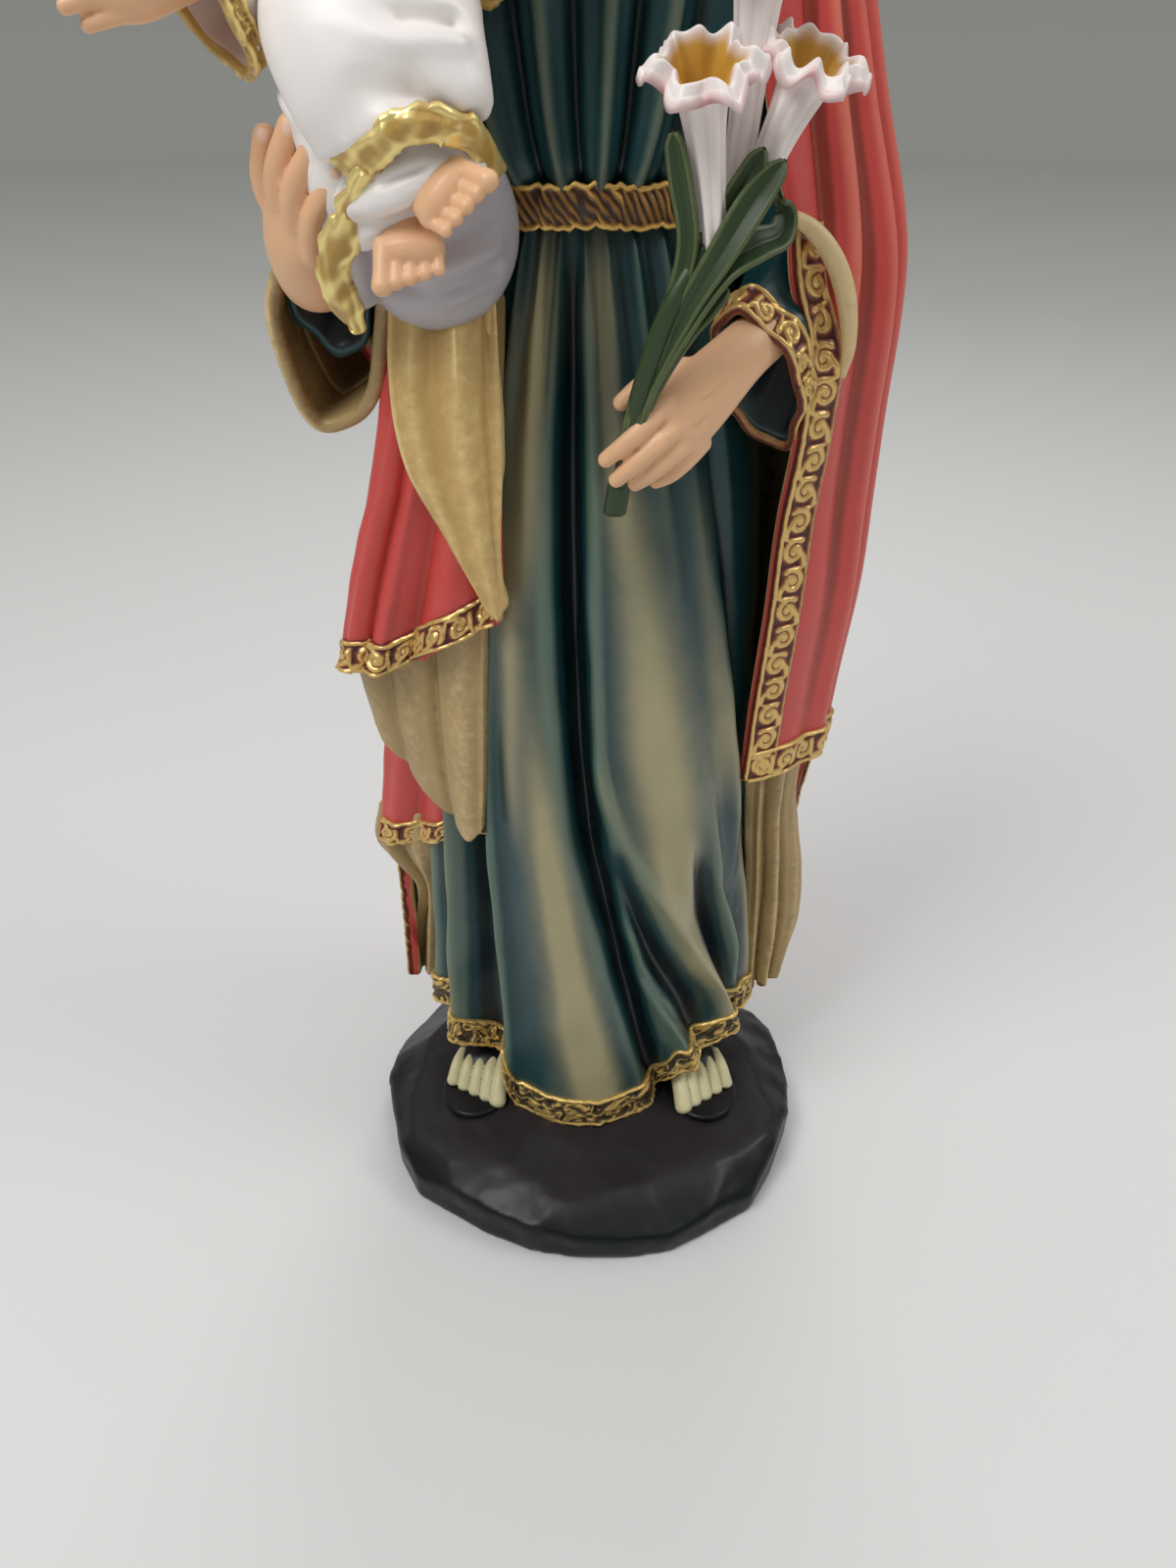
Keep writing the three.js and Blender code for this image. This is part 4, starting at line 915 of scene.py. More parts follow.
def buildChest(s):
    bearing = skirtBearings(s["columns"])[None, :]
    z = np.linspace(s["low"], s["high"], s["rows"])[:, None] + 0 * bearing
    bearing = bearing + 0 * z
    folds = foldHeight(chestFolds, z, bearing) * ramp(168, 158, z)
    sag = 0.8 * np.maximum(np.cos(np.radians(bearing)), 0) ** 2 * ramp(130, 124, z)
    rings = ellipsePoint(chestForm(z), bearing, folds, z - sag)
    slope = folds - 0.5 * (np.roll(folds, 7, axis=1) + np.roll(folds, -7, axis=1))
    # the chest's pleat crests get the same beige and painted highlight
    loftPiece("chest", rings, robePaint, folds * 0.6 + slope,
              {"beigeAndHighlight": 0.25 * ramp(0.4, 1.2, folds)})


buildChest(chestSettings)
beltSettings = {"low": 124.9, "height": 3.6, "width": 3.9, "pitch": 0.9, "reach": 150, "columns": 420}


def buildBelt(s):
    bearing = np.linspace(-s["reach"], s["reach"], s["columns"])[None, :]
    v = np.linspace(0, 1, 12)[:, None]
    sag = -0.8 * np.maximum(np.cos(np.radians(bearing)), 0) ** 2
    spots = np.stack([bearing[0] * 0.3, 0 * bearing[0], 0 * bearing[0]], -1)
    ragged = 0.25 * wobble(spots, 1.5, 6)[None, :]
    z = s["low"] + v * s["height"] + sag + ragged * (1 - v)
    form = skirtForm(np.full(z.shape, 124.6))
    front = ellipsePoint(form, bearing + 0 * z, 1.5 + 0.5 * np.sin(v * pi) + 0 * bearing, z)
    borderPiece("belt", front, s["width"], s["pitch"], beltGilt, hatchRelief, seed=9, rough=0.05)


buildBelt(beltSettings)
print("chest and belt")


# mantle

mantleSettings = {"rows": 210, "columns": 400, "thickness": 1.4, "trimWidth": 4.4, "scrollPitch": 3.5,
                  "corner": 62, "hem": 20, "centre": 6}
mantleForm = along([
    [17, 27.8, 26.2, 13, 22, 40, 68], [30, 28.2, 26, 13, 21.6, 40, 68], [40, 28.2, 26, 13, 21, 40, 68],
    [54, 28.8, 26.2, 14, 20.4, 40, 68], [62, 30.2, 26, 15, 20, 40, 68], [72, 31, 27, 15.6, 19.6, 40, 68],
    [84, 32, 25.5, 17.4, 19, 40, 68], [95, 32, 22.5, 18.6, 18.4, 41, 70], [105, 32, 22, 21.4, 17.6, 43, 72],
    [113, 32.2, 26, 23, 17, 42, 72], [119.6, 32, 28.6, 22.4, 16.4, 38, 62],
    [125, 31, 29.4, 20.6, 16, 38, 52],
    [134, 28.4, 28.6, 19, 15, 36, 42], [145, 25.6, 26, 18.6, 14, 36, 38],
    [156, 22.6, 22.6, 17, 12.6, 32, 36],
    [162, 17.6, 17.6, 14.4, 11.4, 30, 34], [167, 9.6, 9.6, 11, 9.6, 36, 40],
    [170, 7.4, 7.4, 9.4, 8.8, 46, 48],
])
backFolds = [
    fold([[16, 104], [165, 98]], [[16, 4], [165, 4]], [[16, -1.2], [90, -1.2], [165, 0]]),
    fold([[16, 118], [165, 110]], [[16, 8], [165, 7]], [[16, -1.8], [120, -1.2], [165, 0]]),
    fold([[16, 138], [165, 132]], [[16, 7], [165, 6]], [[16, 1.9], [130, 1.0], [165, 0]]),
    fold([[16, 158], [165, 156]], [[16, 6], [165, 5]], [[16, -2.2], [130, -1.1], [165, 0]]),
    fold([[16, 178], [165, 182]], [[16, 7], [165, 6]], [[16, 2.0], [130, 1.0], [165, 0]]),
    fold([[16, 200], [165, 206]], [[16, 6], [165, 5]], [[16, -2.4], [130, -1.1], [165, 0]]),
    fold([[16, 220], [165, 230]], [[16, 7], [165, 6]], [[16, 1.6], [130, 0.9], [165, 0]]),
    fold([[16, 240], [165, 250]], [[16, 6], [165, 5]], [[16, -2.0], [130, -0.9], [165, 0]]),
]
mantleFolds = backFolds + [
    fold([[62, 62], [110, 61], [170, 58]], [[62, 5], [170, 5]], [[62, -0.5], [120, -0.9], [170, 0]]),
    fold([[62, 72], [125, 67], [165, 62]], [[62, 4.4], [165, 5]],
         [[62, 0.6], [120, 1.2], [150, 0.8], [165, 0]]),
    fold([[62, 80], [125, 75], [165, 70]], [[62, 3.6], [165, 4]],
         [[62, -0.6], [120, -1.2], [150, -0.8], [165, 0]]),
    fold([[62, 90], [125, 82], [165, 76]], [[62, 6], [165, 5]],
         [[62, 0.7], [120, 1.3], [150, 0.8], [165, 0]]),
    fold([[112, 50], [125, 52], [150, 54]], [[112, 3], [150, 4]],
         [[106, 0], [120, 1.0], [140, 1.0], [165, 0]]),
    fold([[112, 44], [125, 46], [150, 48]], [[112, 2.4], [150, 3]],
         [[106, 0], [120, -0.8], [140, -0.8], [165, 0]]),
    fold([[112, 300], [125, 305], [150, 315]], [[112, 5], [150, 5]],
         [[100, 0], [120, 1.0], [150, 0.9], [165, 0]]),
    fold([[112, 286], [125, 290], [150, 300]], [[112, 5], [150, 5]],
         [[100, 0], [120, -1.1], [150, -1.0], [165, 0]]),
]


def mantleSurface(form, folds, z, bearing, less=0.0):
    right, left, front, back = [form[..., k] for k in range(4)]
    turn, middle = np.radians(bearing), mantleSettings["centre"]
    wide = np.where(np.sin(turn) > 0, right, left)
    deep = np.where(np.cos(turn) > 0, front, back)
    out = foldHeight(folds, z, bearing)
    reach = out - less
    points = np.stack([(wide + reach) * np.sin(turn), middle - (deep + reach) * np.cos(turn), z], -1)
    return points, out


def foldPaint(folds, step):
    # fold relief for the paint: crests take painted highlight, valleys painted shade
    beside = 0.5 * (np.roll(folds, step, axis=1) + np.roll(folds, -step, axis=1))
    slope = folds - beside
    slope[:, :step] = 0
    slope[:, -step:] = 0
    return folds * 0.4 + slope * 1.5


def buildMantle(s):
    share = np.linspace(0, 1, s["columns"])[None, :]
    atHem = mix(40, 292, share)
    behind = ramp(93, 101, atHem) * ramp(284, 274, atHem)
    ragged = 1.2 * np.sin(np.radians(atHem) * 9)
    low = mix(s["corner"], s["hem"], behind) + (ragged + 3.4 * bell(atHem - 276, 22)) * behind
    z = mix(low, 170, np.linspace(0, 1, s["rows"])[:, None])
    form = mantleForm(z)
    bearing = mix(form[..., 4], 360 - form[..., 5], share)
    points, folds = mantleSurface(form, mantleFolds, z, bearing)
    sheetPiece("mantle", points, s["thickness"], mantlePaint, liningPaint, foldPaint(folds, 6))
    return points


mantleGrid = buildMantle(mantleSettings)
edgeFirst = np.swapaxes(mantleGrid, 0, 1)
borderPiece("mantleTrimRight", edgeFirst[:60], mantleSettings["trimWidth"], mantleSettings["scrollPitch"],
            redGilt, scrollRelief, 0.0, 0.575, flip=True, cords=(1, 0.55), seed=2)
lip = sweep([
    [17.2, -12.4, 125.4, 0.4, 0.6], [20.2, -12, 123.9, 0.8, 0.8], [22.6, -11.6, 121.3, 0.95, 0.9],
    [24.2, -11.2, 117.8, 0.95, 0.9], [24.9, -11.2, 113.8, 0.7, 0.7], [24.7, -11, 110.8, 0.3, 0.4],
], [0.8, -0.2, 0.5], 28, 60)
loftPiece("mantleLip", lip, liningPaint, np.full(lip.shape[:2], 1.1))
borderPiece("mantleHemTrim", mantleGrid[:40], mantleSettings["trimWidth"], mantleSettings["scrollPitch"],
            redGilt, scrollRelief, 0.0, 0.97, seed=3)
print("mantle")


# hanging ends of cloth: curves of the front from the hem up, and the folds that run up them

drapes = {
    "redEndUpper": {
        "curves": [
            [(-28.6, -6, 77.6), (-25.4, -9, 78.6), (-21.9, -9.6, 79.3), (-15.9, -12, 83),
             (-9.8, -12.6, 85.9)],
            [(-25.6, -6.4, 90), (-22.6, -9, 90.6), (-19, -10, 91.4), (-14.4, -12, 93), (-9.6, -12.4, 95)],
            [(-22.8, -7, 99), (-20, -9.4, 99.8), (-17, -10.4, 100.8), (-13.4, -11.8, 102),
             (-9.6, -12, 104)],
            [(-19.6, -8, 113), (-17.6, -9.6, 113.2), (-15, -10.6, 113.4), (-12.4, -11.2, 113.6),
             (-9.8, -11, 114)],
        ],
        "folds": [(0.12, 0.2, 0.06, 0.8, 0.5), (0.24, 0.34, 0.05, -1.2, -0.8), (0.4, 0.5, 0.08, 1.2, 0.9),
                  (0.58, 0.64, 0.05, -1.2, -0.7), (0.76, 0.78, 0.08, 0.9, 0.6),
                  (0.92, 0.92, 0.04, -0.6, -0.4)],
        "size": (130, 150), "thick": 1.6, "outside": "red",
    },
    "liningEndUpper": {
        "curves": [
            [(-25.9, -2.4, 68), (-23.4, -3.6, 64.5), (-20.4, -5, 60.8), (-17, -7, 57.4),
             (-14.6, -8.6, 55.6), (-12.6, -9.4, 57.6)],
            [(-26.6, -3.6, 74), (-23.8, -5.4, 72), (-20.4, -7, 69), (-17, -8.6, 67), (-14.3, -9.8, 66.6),
             (-11.9, -10.2, 68)],
            [(-27, -5, 80), (-23.6, -6.4, 80.6), (-19.8, -8, 81.4), (-16.4, -9.4, 83), (-13.6, -10.6, 84.6),
             (-11, -11, 86)],
        ],
        "folds": [(0.1, 0.1, 0.08, 0.5, 0.4), (0.26, 0.22, 0.04, -0.5, -0.6), (0.42, 0.36, 0.1, 0.4, 0.5),
                  (0.6, 0.52, 0.035, -0.7, -0.8), (0.8, 0.76, 0.13, 0.7, 0.6),
                  (0.98, 0.97, 0.03, 0.5, 0.4)],
        "size": (110, 130), "thick": 1.6, "outside": "lining",
    },
    "redEndLower": {
        "curves": [
            [(-27.8, 3, 48.2), (-24, 1, 48.6), (-20, -0.8, 50.4), (-16.4, -2.4, 52.3)],
            [(-26.4, 2, 57), (-22.6, 0, 57), (-18.8, -2, 57.4), (-14.8, -4, 58.4)],
            [(-25, 1.4, 68), (-21.4, -1, 67), (-17.6, -3, 66), (-14, -4.6, 65)],
        ],
        "folds": [(0.16, 0.2, 0.1, 0.8, 0.5), (0.42, 0.4, 0.08, -1.0, -0.6), (0.7, 0.66, 0.12, 0.9, 0.6)],
        "size": (80, 90), "thick": 1.5, "outside": "red",
    },
    "liningEndLower": {
        "curves": [
            [(-26.4, 8, 21.4), (-25, 7.4, 21), (-23, 6.6, 21.6), (-20.3, 5.6, 22.9)],
            [(-25.2, 6.6, 31), (-23.8, 6, 31), (-22, 5, 31.2), (-19.8, 3.8, 31.6)],
            [(-24.1, 5.6, 38.4), (-22.9, 4.6, 38.4), (-21.4, 3.4, 38.6), (-19.6, 2.2, 39)],
            [(-28.4, 4, 46), (-25.6, 2.6, 46.4), (-22, 1, 47.4), (-19, 0, 49)],
            [(-27.8, 4, 52), (-25, 2.6, 52), (-21.8, 1, 52.4), (-18, 0, 53)],
        ],
        "folds": [(0.14, 0.16, 0.08, 0.7, 0.6), (0.36, 0.34, 0.06, -1.0, -0.8), (0.6, 0.6, 0.1, 0.9, 0.6),
                  (0.86, 0.84, 0.05, -0.7, -0.5)],
        "size": (130, 90), "thick": 1.4, "outside": "lining",
    },
    "liningEndRight": {
        "curves": [
            [(22.9, 3.4, 20.4), (24.8, 4, 21.6), (26.6, 5, 21), (28.4, 6.4, 21.8)],
            [(22.6, 3.2, 29.4), (25, 4, 29.4), (27.4, 5.2, 29.8), (30.4, 7.4, 30.6)],
            [(22.4, 3, 40), (24.6, 3.2, 40), (27, 4.4, 40), (30, 7, 40)],
            [(21.4, 1, 52), (23.6, 1.4, 52), (25.8, 2.8, 53), (28, 6, 53.4)],
            [(20.6, -2, 62), (23.2, -1, 62), (26, 1, 62), (28.6, 5, 62)],
        ],
        "folds": [(0.12, 0.14, 0.06, 0.7, 0.6), (0.3, 0.32, 0.06, -1.3, -0.8), (0.5, 0.5, 0.08, 0.9, 0.7),
                  (0.7, 0.66, 0.05, -1.0, -0.6), (0.88, 0.86, 0.06, 0.7, 0.4)],
        "size": (150, 100), "thick": 1.5, "outside": "lining",
    },
    "turnedEnd": {
        "curves": [
            [(-11.1, -14.6, 88.8), (-10.5, -15, 87.9), (-9.8, -15.2, 87.4), (-9.2, -15.2, 87.6),
             (-8.6, -15, 88.6)],
            [(-13.9, -14.8, 94.8), (-12.6, -15.2, 93.6), (-11, -15.6, 93), (-9.8, -15.6, 93.8),
             (-8.8, -15, 95)],
            [(-17.4, -14.6, 102.6), (-15, -15.2, 102), (-12.6, -15.8, 101.6), (-10.4, -15.8, 101.6),
             (-8.4, -15.2, 102)],
            [(-18.4, -14.2, 110), (-16, -14.8, 109.8), (-13.2, -15.6, 109.6), (-10.8, -15.8, 109.6),
             (-8.3, -15.2, 110)],
            [(-18, -12, 118), (-15.6, -12, 118), (-13.2, -12, 118), (-10.8, -12, 118), (-8.6, -11.8, 118)],
        ],
        "folds": [(0.16, 0.2, 0.1, 0.1, 0.5), (0.36, 0.34, 0.1, -0.1, -0.5), (0.62, 0.6, 0.1, 0.1, 0.45),
                  (0.86, 0.88, 0.05, 0, -0.4), (0.98, 0.98, 0.05, 0, 0.4)],
        "size": (130, 90), "thick": 1.8, "outside": "gold",
    },
}
drapePaint = {"red": (mantlePaint, liningPaint, "mantle"), "lining": (liningPaint, liningPaint, "lining"),
              "gold": (brushedGold, liningPaint, "gilt")}


def buildDrape(name, s):
    rows, columns = s["size"]
    grid = net(s["curves"], rows, columns)
    folds = netFolds(grid, s["folds"])
    uneven = 0.05 * wobble(grid.reshape(-1, 3), 6, 8).reshape(folds.shape)
    points = grid + gridNormals(grid) * (folds + uneven)[..., None]
    outside, inside, slot = drapePaint[s["outside"]]
    sheetPiece(name, points, s["thick"], outside, inside, folds * 0.7)
    return points


draped = {name: buildDrape(name, s) for name, s in drapes.items()}
borderPiece("redEndUpperTrim", draped["redEndUpper"], 4.0, 3.3, redGilt, scrollRelief, 0.01, 0.99, seed=6,
            rough=0.25)
borderPiece("redEndLowerTrim", draped["redEndLower"], 3.8, 3.3, redGilt, scrollRelief, 0.01, 0.99, seed=7,
            rough=0.25)
print("drapes")


# sleeves

def sleevePiece(name, stations, side, sides, steps, material, depth, folds):
    # an open sleeve: the last stations are its mouth, and the cloth turns back inside it
    rings = sweep(stations, side, sides, steps, 0)
    t = np.linspace(0, 1, steps)[:, None]
    turn = np.linspace(0, 2 * pi, sides, endpoint=False)[None, :]
    wave = sum(rise * np.sin(turn * count + lean * t * 6 + count) * ramp(0, 0.4, t)
               for count, rise, lean in folds)
    centre = rings.mean(axis=1, keepdims=True)
    rings = rings + unit(rings - centre) * wave[..., None]
    mouth, middle = rings[-1], centre[-1]
    back = centre[-steps // 3]
    inside = [middle + (mouth - middle) * 0.84 + (back - middle) * k for k in (0.02, depth)]
    inside[1] = inside[1] * 0.4 + (back + (rings[-steps // 3] - back) * 0.8) * 0.6
    full = np.concatenate([rings, np.array(inside)])
    # the turned-back inside of the mouth is set deep in relief, which paints it with the painted shade of
    # the hollows
    relief = np.concatenate([wave * 1.6, np.full((2, sides), -1.6)])
    loftPiece(name, full, material, relief)
    return rings


def buildLoop(s):
    rings = sweep(s["stations"], s["side"], s["sides"], s["steps"], 0)
    turn = np.linspace(0, 2 * pi, s["sides"], endpoint=False)[None, :]
    t = np.linspace(0, 1, s["steps"])[:, None]
    ridge = bell(turn - s["ridge"], 0.2)
    wave = 0.35 * np.sin(2 * turn + 0.4) + 0.3 * np.sin(5 * turn + 2 * t) + 0.7 * ridge
    wave = ramp(0, 0.3, t) * wave
    centre = rings.mean(axis=1, keepdims=True)
    rings = rings + unit(rings - centre) * wave[..., None]
    grid = np.concatenate([rings, rings[:, :1]], axis=1)
    relief = np.concatenate([wave, wave[:, :1]], axis=1)
    # its lining turns outward toward the rim
    start = s["steps"] - s["rim"]
    end = start + s["overlap"]
    sheetPiece("mantleLoop", grid[:end], s["thickness"], mantlePaint, liningPaint, relief[:end],
               flip=s["flip"])
    outward = unit(grid[start:] - grid[start:].mean(axis=1, keepdims=True))
    turned = grid[start:] + outward * s["proud"]
    sheetPiece("mantleLoopRim", turned, s["thickness"], liningPaint, liningPaint,
               relief[start:] + 0.5, flip=s["flip"])


loopSettings = {
    "stations": [[-19.6, 12, 121.4, 5, 9], [-23.4, 4, 118.6, 5.8, 12], [-24.6, -4, 116.4, 5.8, 12],
                 [-25, -8.4, 115.2, 5.6, 11.8]],
    "side": [-1, 0, 0.12], "sides": 160, "steps": 60, "rim": 34, "overlap": 8, "proud": 0.3,
    "thickness": 1.5, "ridge": 4.4, "flip": False,
}
buildLoop(loopSettings)
sleevePiece(
    "robeSleeveRight",
    [[-13, 4, 156, 6, 6], [-19.6, 4.4, 143, 5.4, 6], [-23.2, 3.4, 128, 4.4, 6.4],
     [-24.4, -1, 120.6, 4.2, 7], [-24.8, -7.6, 118.6, 4.3, 7.2]],
    [-1, 0.1, 0], 120, 90, robePaint, 0.3, [(4, 0.3, 0.5), (7, 0.25, -0.4)])
leftSleeveRings = sleevePiece(
    "robeSleeveLeft", [[12, 4, 155, 6, 6], [18, 5, 143, 6, 6], [22.6, 4, 127, 5.0, 7],
                       [20.6, -4, 115.6, 4.4, 8.2], [16.6, -10.8, 110.4, 4.2, 8.2]],
    [0.8, -0.6, 0], 160, 110, robePaint, 0.5, [(4, 0.3, 0.5), (7, 0.3, -0.5)])
cuffGrid = leftSleeveRings[::-1][:30]
cuffGrid = np.concatenate([cuffGrid, cuffGrid[:, :1]], axis=1)
borderPiece("cuffBand", cuffGrid, 3.5, 3.2, redGilt, scrollRelief, flip=True, seed=11)
print("sleeves")


# hands

def finger(stations, radius, sides=18, steps=14):
    return sweep([[*s, radius * (1 - 0.1 * i), radius * (1 - 0.1 * i)] for i, s in enumerate(stations)],
                 [0, 0, 1], sides, steps)


leftHand = [
    sweep([[18, -10, 115.4, 2.6, 2.6], [14.4, -14.6, 113.6, 2.8, 2.3], [10.6, -17.4, 110.4, 3.5, 1.9],
           [8, -18.6, 107.6, 3.4, 1.7]], [0.5, 0.2, -0.8], 28, 24),
    finger([[8.6, -18.4, 110.6], [6.2, -20, 109.4], [4, -20.9, 107.4], [1.6, -20.2, 105.2]], 1.12),
    finger([[9, -18.6, 108.6], [6.8, -20.2, 107.2], [4.6, -20.7, 105.2], [2.6, -20, 103.3]], 1.15),
    finger([[9.8, -18, 107], [7.8, -19.6, 105.6], [6, -20, 104], [4.4, -19.3, 102.7]], 1.1),
    finger([[10.8, -17, 106], [9.2, -18.4, 104.6], [7.8, -18.7, 103.4], [6.4, -18.3, 102.6]], 1.0),
    finger([[10, -16.8, 112.6], [7.4, -17.2, 112.6], [5, -17.6, 111.4], [3, -17.8, 109.8]], 1.15),
]
leftHandLines = creases([
    ([(12.4, -18, 112), (9.6, -20.4, 109.6)], 0.35, -0.22),
    ([(12.6, -17.4, 110.6), (10, -19.8, 108)], 0.35, -0.22),
    ([(12.6, -16.4, 109.2), (10.6, -18.8, 106.6)], 0.35, -0.18),
    ([(6.4, -21, 109.4), (6.2, -21, 108.2)], 0.4, 0.15),
    ([(7, -21.2, 107.6), (6.8, -21.2, 106.4)], 0.4, 0.15),
])


def nailPaint(spots):
    def at(points):
        total = sum(bell(np.linalg.norm(points - np.array(spot), axis=1), 0.75) for spot in spots)
        return {"nails": np.clip(total * 1.4 - 0.4, 0, 1)}
    return at


fusePiece("leftHand", leftHand, 0.2, 3, fleshPaint, leftHandLines)
rightHand = [
    sweep([[-26, -4, 118.6, 3.2, 3], [-26, -9.6, 119.6, 3.2, 3], [-26.2, -13, 122.4, 3.6, 2.6],
           [-26, -14.4, 125, 3.6, 2]], [0.7, -0.6, -0.4], 28, 24),
    finger([[-27.6, -12.6, 125], [-28.4, -13.6, 128], [-27.6, -14.4, 131.4]], 1.3),
    finger([[-26.6, -14.2, 124.6], [-26.6, -16, 128.4], [-24.8, -16.8, 132.2]], 1.35),
    finger([[-25.4, -15.2, 123.6], [-25, -17.4, 127.2], [-22.8, -18.2, 130.6]], 1.35),
    finger([[-24.2, -15.8, 122.2], [-23.4, -18, 125.4], [-21, -18.8, 128.6]], 1.2),
]
rightTips = [(-27.6, -15.2, 131.4), (-24.8, -17.8, 132), (-22.8, -19.2, 130.4), (-21, -19.8, 128.4)]
fusePiece("rightHand", rightHand, 0.2, 3, fleshPaint, None, nailPaint(rightTips))
print("hands")


# lilies

lilySettings = {"petals": 6, "rimWave": 1.0, "tubeRadius": 1.0}


def leafPiece(name, stations, side):
    # a narrow leaf: a ridge down its middle, lighter at its edges
    run = along([[i, *station] for i, station in enumerate(stations)])
    t = np.linspace(0, len(stations) - 1, 40)
    here = run(t)
    ahead = unit(np.gradient(here[:, :3], axis=0))
    held = np.array(side, float)
    across = unit(held - ahead * (ahead @ held)[:, None])
    upward = np.cross(ahead, across)
    s = np.linspace(-1, 1, 15)
    bend = (0.35 * np.abs(s) ** 1.5 - 0.12 * bell(s, 0.15))[None, :, None]
    wide = (here[:, 3] * np.sqrt(np.clip((len(stations) - 1 - t) * 4, 0.01, 1)))[:, None, None]
    front = here[:, None, :3] + across[:, None] * wide * s[None, :, None] - upward[:, None] * wide * bend
    edge = np.broadcast_to((np.abs(s) ** 3 * 1.1 - 0.2 + 0.3 * bell(s, 0.2))[None, :], front.shape[:2])
    sheetPiece(name, front, 0.5, leafPaint, leafPaint, edge)


def trumpetPiece(name, path, rim, turned=0.0):
    # a trumpet along a bent axis, its six petals waved and curled back at the rim
    s = lilySettings
    t = np.linspace(0, 1, 80)
    run = along([[i / (len(path) - 1), *spot] for i, spot in enumerate(path)])
    centre = run(t)
    ahead = unit(np.gradient(centre, axis=0))
    across = unit(np.array([1.0, 0, 0]) - ahead * ahead[:, :1])
    upward = np.cross(ahead, across)
    turn = np.linspace(0, 2 * pi, 169)[:-1][None, :]
    t = t[:, None]
    reach = along([[0, s["tubeRadius"]], [0.35, 1.3], [0.62, rim * 0.48], [0.8, rim * 0.66],
                   [0.92, rim * 0.88], [1, rim * 1.14]])(t)[..., 0]
    petal = np.cos(turn * s["petals"] + turned)
    flare = ramp(0.66, 1.0, t)
    uneven = 2 * np.sin(turn * 2 + turned)
    ruffle = flare**2 * (0.36 * np.sin(turn * 13 + uneven) + 0.3 * np.sin(turn * 8 + turned * 3))
    radius = reach * (1 + 0.17 * petal * flare + 0.1 * ruffle) + 0.12 * petal * (1 - flare)
    lift = s["rimWave"] * (0.9 * ruffle - 0.15 * petal * flare) - 2.2 * ramp(0.88, 1.0, t) ** 2

    def spread(radius, lift):
        out = across[:, None] * (radius * np.cos(turn))[..., None]
        out = out + upward[:, None] * (radius * np.sin(turn))[..., None]
        return centre[:, None] + out + ahead[:, None] * lift[..., None]

    outer = spread(radius, lift)
    inward = mix(0.5, 0.25, flare)
    inner = spread(np.maximum(radius - inward, 0.1), lift + 0.75 * ramp(0.85, 0.98, t))[::-1][:56]
    throat = np.concatenate([0 * radius, (ramp(0.95, 0.82, t) + 0 * turn)[::-1][:56]])
    blush = np.concatenate([0.3 * bell(petal + 1, 0.5) + 0.5 * ramp(0.94, 1, t),
                            (0.35 * ramp(0.96, 1, t) + 0 * turn)[::-1][:56]])
    # painted highlight along each petal's middle and painted shade in the seams between petals
    petalShadeAndHighlight = np.concatenate([0.35 * petal + 0.3 * flare, (0.5 * petal + 0 * t)[::-1][:56]])
    loftPiece(name, np.concatenate([outer, inner]), petalPaint, petalShadeAndHighlight,
              {"throat": throat, "pink": blush})


# the cut foot of the stem, square with rounded corners: x, y, z and half its width
stemFootRows = [(2.6, -17.6, 99.2, 0.8), (2.6, -17.6, 99.5, 1.1), (3, -18.1, 102.4, 1.1),
                (3.2, -18.3, 103.4, 0.8)]
turn = np.linspace(0, 2 * pi, 40, endpoint=False)
squared = 1 / (np.abs(np.cos(turn)) ** 5 + np.abs(np.sin(turn)) ** 5) ** 0.2
rings = [np.stack([x + squared * np.cos(turn) * half, y + squared * np.sin(turn) * half, 0 * turn + z], -1)
         for x, y, z, half in stemFootRows]
loftPiece("stemFoot", np.array(rings), leafPaint)
stem = sweep([[3.1, -18.4, 102, 0.9, 0.9], [3.4, -18.6, 103.4, 0.95, 0.95], [4.6, -20.8, 111, 0.9, 0.9],
              [7, -21.8, 118.6, 0.9, 0.9], [10.4, -20.8, 124, 0.9, 0.9]], [1, 0, 0], 20, 60)
loftPiece("lilyStem", stem, leafPaint)
leaves = [
    [[3.4, -20.6, 106.5, 0.4], [4.6, -21.2, 111, 0.5], [7.4, -22, 119.4, 0.55], [8.3, -22, 124, 0.6],
     [7.5, -22.4, 128.4, 0.7], [6.7, -22.6, 131.8, 0.45]],
    [[3.8, -20.4, 107.5, 0.4], [5.4, -21, 112, 0.5], [8.6, -21.4, 120.4, 0.6], [10, -21.6, 123.6, 0.75],
     [12.4, -21.6, 127.4, 0.9], [14.2, -21, 130.6, 0.5]],
    [[4, -21, 108, 0.4], [5.4, -21.6, 112.6, 0.55], [8.6, -22.4, 119, 0.7], [10.9, -22.8, 122.8, 0.9],
     [13.5, -22.4, 126.9, 1.0], [15.9, -21.4, 129.8, 0.45]],
    [[4.4, -21, 108.6, 0.4], [5.6, -21.6, 112.6, 0.6], [8.6, -22.2, 118.2, 0.9], [11.2, -22.4, 122, 1.1],
     [14.2, -21.4, 123.6, 1.1], [16.2, -20, 124.2, 0.9], [16.6, -19.2, 125.8, 0.7],
     [15.9, -19.2, 126.8, 0.3]],
    [[4.6, -20.6, 109, 0.4], [6.4, -21, 113.2, 0.6], [8.4, -21.4, 116.8, 0.8], [10, -21.4, 118.6, 0.8],
     [12, -20.4, 120, 0.3]],
]
for number, stations in enumerate(leaves):
    leafPiece(f"lilyLeaf{number + 1}", stations, (0.75, -0.2, -0.6))
trumpetPiece("lily1", [(10.8, -21.2, 122), (9.8, -21.6, 129), (9, -22.2, 134.4), (8.8, -24, 137.6)], 3.9)
trumpetPiece("lily2", [(12, -20.4, 123), (15, -18.8, 130), (17.4, -17.2, 134.8), (18.5, -18.4, 138.2)], 3.9,
             0.8)
